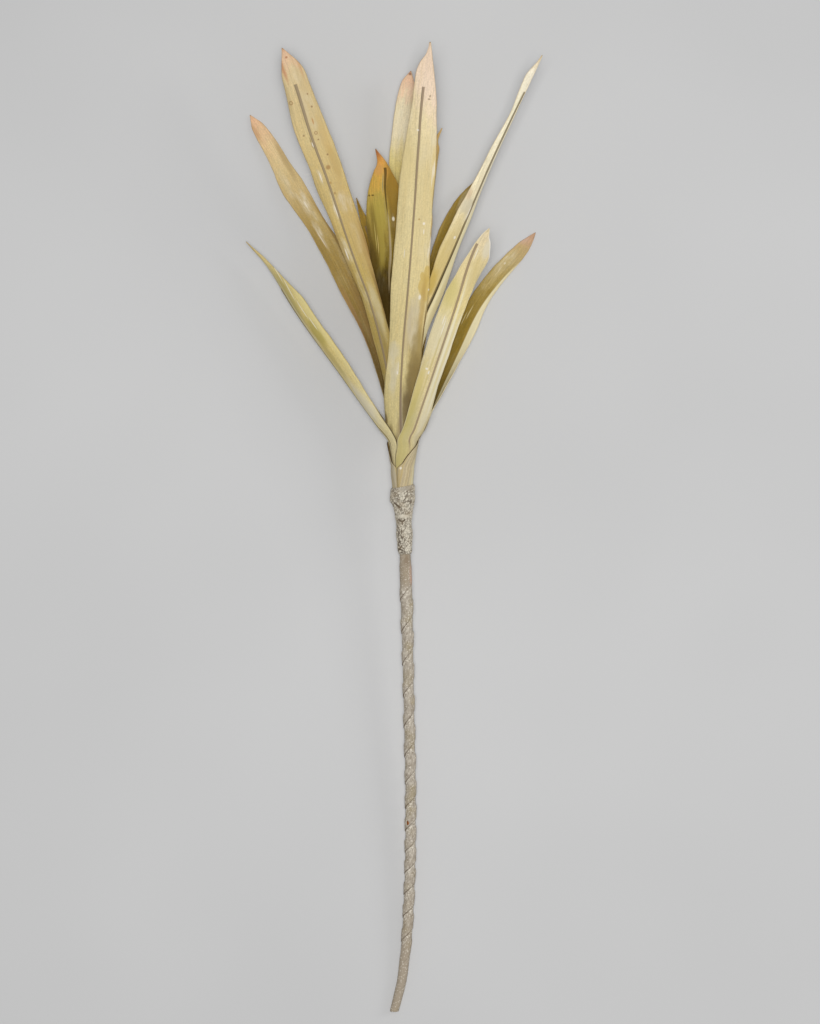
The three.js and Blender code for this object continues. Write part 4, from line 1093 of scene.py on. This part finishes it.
def rough_tape(colours):
    """Wound floral paper tape with fibre pressed on it: grey-brown, specked with cream, quite matt."""
    material, tree, shader = new_material("rough_paper_tape")
    place = add(tree, "Attribute", out="Vector", attribute_name="tape_place")
    below, above, relief = add(tree, "SeparateXYZ", {0: place}).node.outputs
    step = add(tree, "Attribute", out="Fac", attribute_name="tape_step")
    stem = add(tree, "TexCoord", out="Object")
    up = add(tree, "SeparateXYZ", {0: stem}, out="Y")
    drawn = add(tree, "Mapping", {"Vector": stem, "Scale": (1.0, 0.35, 1.0)})
    fine = add(tree, "TexNoise", {"Vector": drawn, "Scale": 1 / (1.1 * MM), "Detail": 3.0, "Roughness": 0.6})
    speck = add(tree, "TexNoise", {"Vector": stem, "Scale": 1 / (1.6 * MM), "Detail": 1.0})
    patchy = add(tree, "TexNoise", {"Vector": stem, "Scale": 1 / (15 * MM), "Detail": 2.0})
    level = add(tree, "Math", {0: fine, 1: 0.9, 2: relief}, operation="MULTIPLY_ADD")
    colour = tint_where(tree, (*colours.tape_gap, 1), colours.tape, level, (0.4, 1.35), least=0.1)
    colour = tint_where(tree, colour, colours.tape_stain, patchy, (0.48, 0.68), 0.7)
    for start, end, strength in TAPE_BARE:
        colour = tint_where(tree, colour, colours.tape_bare, up, (start * MM, end * MM), strength)
    for tint, *spot in TAPE_STAINS:
        spot = [size * MM for size in spot]
        colour = tint_spot(tree, colour, srgb(tint), stem, spot, STAIN_SPAN, STAIN_STRENGTH)
    colour = tint_where(tree, colour, colours.tape_speck, speck, (0.6, 0.68), 0.7)
    beside = add(tree, "MapRange", {0: below, 1: 0.0, 2: 8 * MM, 3: 0.85, 4: 0.0})
    colour = tint_where(tree, colour, colours.tape_speck, speck, (0.48, 0.56), beside, times=step)
    colour = tint_where(tree, colour, colours.tape_edge, above, (1.5 * MM, 0.3 * MM), 0.8, times=step)
    finish(tree, shader, colour, fine, (0.82, 0.96), fine, 0.4 * MM, 0.2)
    return material


def bare_stem(colours):
    """Bare dry flower stem: orange-brown, with grain all along it and a slight sheen."""
    material, tree, shader = new_material("bare_dry_stem")
    place = add(tree, "TexCoord", out="Object")
    drawn = add(tree, "Mapping", {"Vector": place, "Scale": (1 / (0.8 * MM), 1 / (12 * MM), 1 / (0.8 * MM))})
    grain = add(tree, "TexNoise", {"Vector": drawn, "Scale": 1.0, "Detail": 3.0})
    colour = tint_where(tree, (*colours.stem_grain, 1), colours.stem, grain, (0.35, 0.65))
    finish(tree, shader, colour, grain, (0.5, 0.7), grain, 0.3 * MM)
    return material


def painted_floor(colours):
    """Matt painted board: one pale grey, with the faintest unevenness of the roller."""
    material, tree, shader = new_material("matt_painted_board")
    place = add(tree, "TexCoord", out="Object")
    cloud = add(tree, "TexNoise", {"Vector": place, "Scale": 1 / 0.4, "Detail": 2.0})
    grit = add(tree, "TexNoise", {"Vector": place, "Scale": 1 / (3 * MM), "Detail": 2.0})
    colour = tint_where(tree, (*colours.floor, 1), colours.floor_cloud, cloud, GRAIN_SPAN)
    finish(tree, shader, colour, grit, (0.9, 0.98), grit, 0.05 * MM, 0.1)
    return material


def grid(bm, columns, rows, place):
    """Add a sheet of columns by rows of faces, each corner put by place(vert, column, row)."""
    for vert in bmesh.ops.create_grid(bm, x_segments=columns, y_segments=rows, size=0.5)["verts"]:
        place(vert, round((vert.co.x + 0.5) * columns), round((vert.co.y + 0.5) * rows))


def close_up(bm):
    """Join the points that meet, drop faces that shrank to a line, and turn all faces outwards."""
    bmesh.ops.remove_doubles(bm, verts=bm.verts, dist=SAME_POINT)
    bmesh.ops.dissolve_degenerate(bm, dist=SAME_POINT, edges=bm.edges)
    bmesh.ops.recalc_face_normals(bm, faces=bm.faces)


def new_piece(bm, name, material, slot, *nodes):
    """Make the mesh an object that rides on the body and stands for its CAD nodes."""
    mesh = bpy.data.meshes.new(name)
    for face in bm.faces:
        face.smooth = True
    bm.to_mesh(mesh)
    bm.free()
    mesh.materials.append(material)
    piece = bpy.data.objects.new(name, mesh)
    bpy.context.scene.collection.objects.link(piece)
    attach(piece, "root")
    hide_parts(*nodes)
    return piece


def size_prop(name, description, millimetres):
    """A size that a user can change, from its value in millimetres."""
    return bpy.props.FloatProperty(
        name=name, description=description, default=millimetres * MM, unit="LENGTH", precision=5
    )


def colour_prop(name, description, code):
    """A colour that a user can pick, from its sRGB hex value."""
    return bpy.props.FloatVectorProperty(
        name=name, description=description, subtype="COLOR", size=3, min=0, max=1, default=srgb(code)[:3]
    )


def power_prop(name, description, watts):
    """The power of a light that a user can change."""
    return bpy.props.FloatProperty(name=name, description=description, default=watts)


class BladeSettings(bpy.types.PropertyGroup):
    """Sizes of the dried blades"""

    thickness: size_prop("Thickness", "Thickness of a blade", 0.7)
    midrib_width: size_prop("Midrib width", "Width of the midrib", 2.4)
    midrib_height: size_prop("Midrib height", "How far the midrib stands out on the outer face", 0.5)
    wave_height: size_prop("Wave", "How far the margins wave up and down", 1.0)
    crumple: size_prop("Crumple", "Height of the lengthwise creases", 0.35)
    cockle: size_prop("Cockle", "Height of the cockles at the margins", 0.7)
    ragged_margin: size_prop("Ragged margin", "How far the margins stray", 0.4)
    columns: bpy.props.IntProperty(
        name="Columns", description="Mesh columns in each half of a blade", default=17, min=8, max=40
    )


class BindingSettings(bpy.types.PropertyGroup):
    """Sizes of the fibre binding round the neck"""

    crumb: size_prop("Crumb", "Width of one crumb of fibre", 2.6)
    crumb_height: size_prop("Crumb height", "How far the crumbs stand out", 0.7)


class TapeSettings(bpy.types.PropertyGroup):
    """Sizes of the tape wound round the stem"""

    wall: size_prop("Wall", "Thickness of the wound tape", 0.9)
    grain: size_prop("Grain", "Width of the specks pressed on it", 1.5)
    grain_height: size_prop("Grain height", "How far the specks stand out", 0.3)


class ColourSettings(bpy.types.PropertyGroup):
    """Colours that the pieces share"""

    pale: colour_prop("Pale straw", "Paler areas of a blade", "DDD2A4")
    ochre: colour_prop("Ochre", "Ochre streaks along a blade", "B89A58")
    vein: colour_prop("Vein", "Lines between the veins", "9C8450")
    chalk: colour_prop("Chalk", "Chalky patches on a blade", "E3DAC0")
    midrib: colour_prop("Midrib", "Midrib on the outer face", "857257")
    fibre: colour_prop("Fibre", "Crumbs of the binding", "D9D1BF")
    fibre_gap: colour_prop("Fibre gap", "Gaps between the crumbs", "73685A")
    # Painted shade in the binding's creases.
    crease_shade: colour_prop("Crease", "Creases pressed into the binding", "4E4232")
    dust: colour_prop("Dust", "Dusty areas of the binding", "A8967A")
    tape: colour_prop("Tape", "Wound tape", "C3BAAB")
    tape_gap: colour_prop("Tape gap", "Hollows in the tape", "8E8171")
    tape_stain: colour_prop("Tape stain", "Stained areas of the tape", "A39679")
    tape_bare: colour_prop("Tape bare", "Tape with little fibre on it, at both of its ends", "A2937E")
    tape_speck: colour_prop("Tape speck", "Cream specks on the tape", "E6DECE")
    tape_edge: colour_prop("Tape edge", "Shadowed lower edge of a turn", "5E5042")
    stem: colour_prop("Stem", "Bare stem in the tear and at the cut end", "C07A3C")
    stem_grain: colour_prop("Stem grain", "Darker grain of the bare stem", "8C5226")
    floor: colour_prop("Floor", "Pale floor", "CACACA")
    floor_cloud: colour_prop("Floor cloud", "Paler areas of the floor", "CFCFCF")


class StageSettings(bpy.types.PropertyGroup):
    """Floor, light and camera"""

    camera_height: bpy.props.FloatProperty(
        name="Camera height", description="Height of the camera above the floor", default=3.04, unit="LENGTH"
    )
    view_height: bpy.props.FloatProperty(
        name="View height",
        description="How much of the plane 40 mm above the floor the frame takes in",
        default=1.024,
        unit="LENGTH",
    )
    key_power: power_prop("Key", "Power of the softbox in watts", 46.0)
    lens_power: power_prop("Lens", "Power of the light beside the lens in watts", 24.0)
    side_power: power_prop("Side", "Power of the side light in watts", 18.0)
    dome: power_prop("Dome", "Strength of the light from all round", 0.24)


class LEAFSTEM_OT_leaves(bpy.types.Operator):
    """Build the twelve dried leaves, with their bases nested in the sheath"""

    bl_idname = "leafstem.leaves"
    bl_label = "Leaves"

    def execute(self, context):
        sizes = context.scene.leafstem_blade
        colours = context.scene.leafstem_colours
        for order, leaf in enumerate(LEAVES):
            blade = Blade(leaf, order, sizes)
            self.build(blade, dried_leaf(blade, colours), sizes.columns)
        return {"FINISHED"}

    def build(self, blade, material, columns):
        sections = [blade.section(distance) for distance in blade.stations()]
        offsets = [blade.offsets(section, columns) for section in sections]
        last_row = len(sections) - 1
        last_column = 2 * columns
        bm = bmesh.new()
        place_layer = bm.verts.layers.float_vector.new("blade_place")
        inner_layer = bm.faces.layers.float.new("inner_face")
        for face in (1, -1):
            known = set(bm.faces)

            def place(vert, column, row):
                section = sections[row]
                offset = offsets[row][column]
                at_edge = row in (0, last_row) or column in (0, last_column)
                vert.co = blade.point(section, offset, 0 if at_edge else face) * MM
                width = section["widths"][0 if offset < 0 else 1]
                beside_rib = offset - section["rib_at"]
                vert[place_layer] = Vector((beside_rib, section["distance"], width - abs(offset))) * MM

            grid(bm, last_column, last_row, place)
            for made in bm.faces:
                if made not in known:
                    made[inner_layer] = 0.0 if face > 0 else 1.0
        inner = [made for made in bm.faces if made[inner_layer] > 0.5]
        bmesh.ops.reverse_faces(bm, faces=inner)
        close_up(bm)
        new_piece(bm, "dried_" + blade.leaf["name"], material, blade.leaf["slot"], blade.leaf["name"])


class LEAFSTEM_OT_rod(bpy.types.Operator):
    """Build the bare stem, which shows at its cut end and in the tear in the tape"""

    bl_idname = "leafstem.rod"
    bl_label = "Stem"
    segments = 36
    row_count = 70

    def execute(self, context):
        start, end = ROD_RADIUS[0][0], ROD_RADIUS[-1][0]
        low, high = start - ROD_PAST_ENDS[0], end + ROD_PAST_ENDS[1]
        rows = [(low, 0.0), (low, ROD_END_SHARE)]
        rows += [(start + (end - start) * i / self.row_count, 1.0) for i in range(self.row_count + 1)]
        rows += [(high, ROD_END_SHARE), (high, 0.0)]
        bm = bmesh.new()

        def place(vert, column, row):
            y, share = rows[row]
            angle = -2 * math.pi * column / self.segments
            height, length = ROD_UNEVEN
            uneven = height * noise.noise(Vector((math.cos(angle), math.sin(angle), y / length)))
            radius = (smooth(ROD_RADIUS, y) + ROD_SPARE + uneven) * share
            vert.co = round_stem(y, angle, radius) * MM

        grid(bm, self.segments, len(rows) - 1, place)
        close_up(bm)
        new_piece(bm, "bare_stem", bare_stem(context.scene.leafstem_colours), "stem_core", "stem_rod")
        return {"FINISHED"}


class LEAFSTEM_OT_tape(bpy.types.Operator):
    """Wind the tape round the stem, each turn lapping over the one below it"""

    bl_idname = "leafstem.tape"
    bl_label = "Tape"
    segments = 48
    turn_rows = 36

    def execute(self, context):
        sizes = context.scene.leafstem_tape
        first, last = TAPE_TURNS[0][0], TAPE_TURNS[-1][0]
        turns = last - first - 2
        close = len(CLOSE_ROWS)
        bm = bmesh.new()
        place_layer = bm.verts.layers.float_vector.new("tape_place")
        step_layer = bm.verts.layers.float.new("tape_step")

        def place(vert, column, row):
            turn, step = divmod(row, self.turn_rows)
            share = column / self.segments
            sway = TAPE_SWAY * (1 + math.sin(2 * math.pi * (share - 0.75)))
            at = first + turn + 0.5 + share + sway
            edge = smooth(TAPE_TURNS, at)
            pitch = smooth(TAPE_TURNS, at + 1) - edge
            if step < close:
                above = CLOSE_ROWS[step]
            else:
                even = (step - close + 1) / (self.turn_rows - close + 1)
                above = CLOSE_ROWS[-1] + (pitch - CLOSE_ROWS[-1]) * even
            y = edge + above
            lumps, *spot = EDGE_LUMPS
            stray = EDGE_STRAY * noise.noise(Vector((at * lumps, *spot)))
            step_height = linear(TAPE_PROFILE, above + stray) * smooth(TAPE_STEP, y)
            centre, across = stem_frame(y)
            outward = around(across, -2 * math.pi * share)
            core = centre + outward * smooth(TAPE_RADIUS, y)
            drawn = Vector((core.x, core.y * GRAIN_DRAWN, core.z)) / (sizes.grain / MM)
            finer, finer_share = FINE_GRAIN
            grain = noise.noise(drawn) + finer_share * noise.noise(drawn * finer)
            relief = clamp(GRAIN_MIDDLE + GRAIN_GAIN * grain * smoothstep(y, *TAPE_ROUGH_FROM))
            lift = step_height + (relief - GRAIN_LEVEL) * sizes.grain_height / MM
            point = core + outward * lift
            point.z = max(point.z, 0.0)
            vert.co = point * MM
            vert[place_layer] = Vector(((pitch - above) * MM, above * MM, relief))
            vert[step_layer] = clamp(smooth(TAPE_STEP, y))

        grid(bm, self.segments, turns * self.turn_rows, place)
        bmesh.ops.remove_doubles(bm, verts=bm.verts, dist=SAME_POINT)
        for y, outer in ((TAPE_ENDS[0] - TAPE_CUT, False), (TAPE_ENDS[1], True)):
            bmesh.ops.bisect_plane(
                bm,
                geom=bm.verts[:] + bm.edges[:] + bm.faces[:],
                plane_co=(0, y * MM, 0),
                plane_no=(0, 1, 0),
                clear_outer=outer,
                clear_inner=not outer,
            )
        self.tear(bm)
        bmesh.ops.recalc_face_normals(bm, faces=bm.faces)
        material = rough_tape(context.scene.leafstem_colours)
        piece = new_piece(bm, "wound_tape", material, "stem_tape", "stem_wrap")
        wall = piece.modifiers.new("Wall", "SOLIDIFY")
        wall.thickness = sizes.wall
        wall.offset = -1
        return {"FINISHED"}

    def tear(self, bm):
        """Take out the faces where the tape is torn."""
        y, degrees, wide, long = TAPE_TEAR.values()
        middle = round_stem(y, math.radians(degrees), smooth(TAPE_RADIUS, y))
        outward = (middle - stem_centre(y)).normalized()
        sideways = outward.cross(stem_tangent(y))
        torn = []
        for face in bm.faces:
            away = face.calc_center_median() / MM - middle
            beside, ahead = away.dot(sideways) / (wide / 2), away.y / (long / 2)
            if away.length <= long and math.hypot(beside, ahead) < 1:
                torn.append(face)
        if not torn:
            raise RuntimeError("the tear met no face of the tape")
        bmesh.ops.delete(bm, geom=torn, context="FACES")


class LEAFSTEM_OT_binding(bpy.types.Operator):
    """Build the rough binding round the foot of the sheath"""

    bl_idname = "leafstem.binding"
    bl_label = "Binding"
    segments = 120
    outer_rows = 116
    inner_rows = 20

    def execute(self, context):
        sizes = context.scene.leafstem_binding
        start, end = BINDING_OUTSIDE[0][0], BINDING_OUTSIDE[-1][0]
        outside = [start + (end - start) * i / self.outer_rows for i in range(self.outer_rows + 1)]
        low, high = start + LIP, end - LIP
        inside = [high - (high - low) * i / self.inner_rows for i in range(self.inner_rows + 1)]
        last_row = len(outside) + len(inside)
        bm = bmesh.new()
        relief_layer = bm.verts.layers.float.new("relief")
        noise.seed_set(NOISE_SEED)

        def inside_radius(y):
            seat = smooth(SHEATH, y) + SEAT_SPARE
            tape = smooth(TAPE_RADIUS, y) + TAPE_SPARE
            return tape + (seat - tape) * smoothstep(y, *SEAT_FROM)

        def place(vert, column, row):
            row %= last_row
            angle = -2 * math.pi * column / self.segments
            if row < len(outside):
                y = outside[row]
                bare = smooth(BINDING_OUTSIDE, y) + self.knob(y, angle)
                core = round_stem(y, angle, bare)
                twist, height = CRUMB_TWIST
                torn = core + noise.noise_vector(core / twist) * height
                nearest = noise.voronoi(torn / (sizes.crumb / MM))[0]
                crumb = smoothstep(nearest[1] - nearest[0], *CRUMB_GAP)
                size, height = LUMP
                lump = height * noise.noise(core / size)
                relief = clamp(crumb * CRUMB_RELIEF + 1 - CRUMB_RELIEF + lump)
                if core.z > stem_centre(y).z:
                    relief = self.marked(core, relief)
                below, above = LIP_REACH
                edge = min(smoothstep(y, start, start + below), 1 - smoothstep(y, end - above, end))
                slim = inside_radius(y) + LEAST_WALL
                radius = bare + (relief - CRUMB_RELIEF) * sizes.crumb_height / MM + lump
                radius = slim + (radius - slim) * (EDGE_SHARE + (1 - EDGE_SHARE) * edge)
            else:
                y = inside[row - len(outside)]
                radius = inside_radius(y)
                relief = INSIDE_RELIEF
            vert[relief_layer] = relief
            point = round_stem(y, angle, radius)
            slope = RIM_TILT / RIM_REACH * smoothstep(y, RIM_FROM, end)
            point.y += slope * (point.x - stem_centre(end).x)
            vert.co = point * MM

        grid(bm, self.segments, last_row, place)
        close_up(bm)
        material = pressed_fibre(context.scene.leafstem_colours)
        new_piece(bm, "neck_wrap_fibre", material, "neck_fibre", "neck_binding")
        return {"FINISHED"}

    def knob(self, y, angle):
        """How far the knob stands out at a height and an angle."""
        middle, degrees, height, reach, spread = BINDING_KNOB.values()
        turned = math.radians(degrees) - angle
        away = abs(math.atan2(math.sin(turned), math.cos(turned)))
        near = 1 - smoothstep(abs(y - middle), 0, reach)
        return height * near * (1 - smoothstep(away, 0, math.radians(spread)))

    def marked(self, point, relief):
        """The relief at a point of the upper side, with the creases and folds pressed into it."""
        for x, y, half_length, half_width, degrees, height in BINDING_MARKS:
            turn = math.radians(degrees)
            ahead = (point.x - x) * math.cos(turn) + (point.y - y) * math.sin(turn)
            aside = (point.y - y) * math.cos(turn) - (point.x - x) * math.sin(turn)
            away = math.hypot(ahead / half_length, aside / half_width)
            relief += PRESSED * (height - relief) * (1 - smoothstep(away, *PRESS_SPAN))
        return relief


class LEAFSTEM_OT_stage(bpy.types.Operator):
    """Lay the floor, hang the lights and set the camera over the stem"""

    bl_idname = "leafstem.stage"
    bl_label = "Stage"

    def execute(self, context):
        scene = context.scene
        stage = scene.leafstem_stage
        bm = bmesh.new()
        bmesh.ops.create_circle(bm, cap_ends=True, segments=96, radius=FLOOR_RADIUS)
        bmesh.ops.translate(bm, verts=bm.verts, vec=(0, 0, -FLOOR_DROP))
        mesh = bpy.data.meshes.new("floor")
        bm.to_mesh(mesh)
        bm.free()
        mesh.materials.append(painted_floor(scene.leafstem_colours))
        floor = bpy.data.objects.new("floor", mesh)
        scene.collection.objects.link(floor)

        for name, place, size, power in LIGHTS:
            light = bpy.data.lights.new(name, "AREA")
            light.shape = "SQUARE"
            light.size = size
            light.energy = getattr(stage, power)
            lamp = bpy.data.objects.new(name, light)
            lamp.location = place
            lamp.rotation_euler = (-Vector(place)).to_track_quat("-Z", "Y").to_euler()
            scene.collection.objects.link(lamp)

        # Colours leave the lens as they are, with no film curve over them
        scene.view_settings.view_transform = "Standard"
        world = bpy.data.worlds.new("pale_room")
        world.use_nodes = True
        background = next(node for node in world.node_tree.nodes if node.type == "BACKGROUND")
        background.inputs["Color"].default_value = (1.0, 1.0, 1.0, 1.0)
        background.inputs["Strength"].default_value = stage.dome
        scene.world = world

        lens = bpy.data.cameras.new("camera")
        lens.sensor_fit = "VERTICAL"
        lens.angle_y = 2 * math.atan(stage.view_height / 2 / (stage.camera_height - VIEW_PLANE))
        camera = bpy.data.objects.new("camera", lens)
        camera.location = (*CAMERA_OVER, stage.camera_height)
        scene.collection.objects.link(camera)
        scene.camera = camera
        return {"FINISHED"}


class LEAFSTEM_PT_panel(bpy.types.Panel):
    """Sizes, colours and the steps that build the leaf stem"""

    bl_idname = "LEAFSTEM_PT_panel"
    bl_label = "Leaf stem"
    bl_space_type = "VIEW_3D"
    bl_region_type = "UI"
    bl_category = "Leaf stem"

    def draw(self, context):
        for name, group in SETTINGS.items():
            box = self.layout.box()
            box.label(text=group.__doc__)
            for prop in group.__annotations__:
                box.prop(getattr(context.scene, name), prop)
        for operator in OPERATORS:
            self.layout.operator(operator.bl_idname)


SETTINGS = {
    "leafstem_blade": BladeSettings,
    "leafstem_binding": BindingSettings,
    "leafstem_tape": TapeSettings,
    "leafstem_colours": ColourSettings,
    "leafstem_stage": StageSettings,
}
OPERATORS = (
    LEAFSTEM_OT_stage,
    LEAFSTEM_OT_leaves,
    LEAFSTEM_OT_rod,
    LEAFSTEM_OT_tape,
    LEAFSTEM_OT_binding,
)


def register():
    for name, group in SETTINGS.items():
        bpy.utils.register_class(group)
        setattr(bpy.types.Scene, name, bpy.props.PointerProperty(type=group))
    for operator in OPERATORS:
        bpy.utils.register_class(operator)
    bpy.utils.register_class(LEAFSTEM_PT_panel)


def unregister():
    bpy.utils.unregister_class(LEAFSTEM_PT_panel)
    for operator in reversed(OPERATORS):
        bpy.utils.unregister_class(operator)
    for name, group in reversed(SETTINGS.items()):
        delattr(bpy.types.Scene, name)
        bpy.utils.unregister_class(group)


def main():
    register()
    bpy.ops.leafstem.stage()
    bpy.ops.leafstem.leaves()
    bpy.ops.leafstem.rod()
    bpy.ops.leafstem.tape()
    bpy.ops.leafstem.binding()


if __name__ == "__main__":
    main()
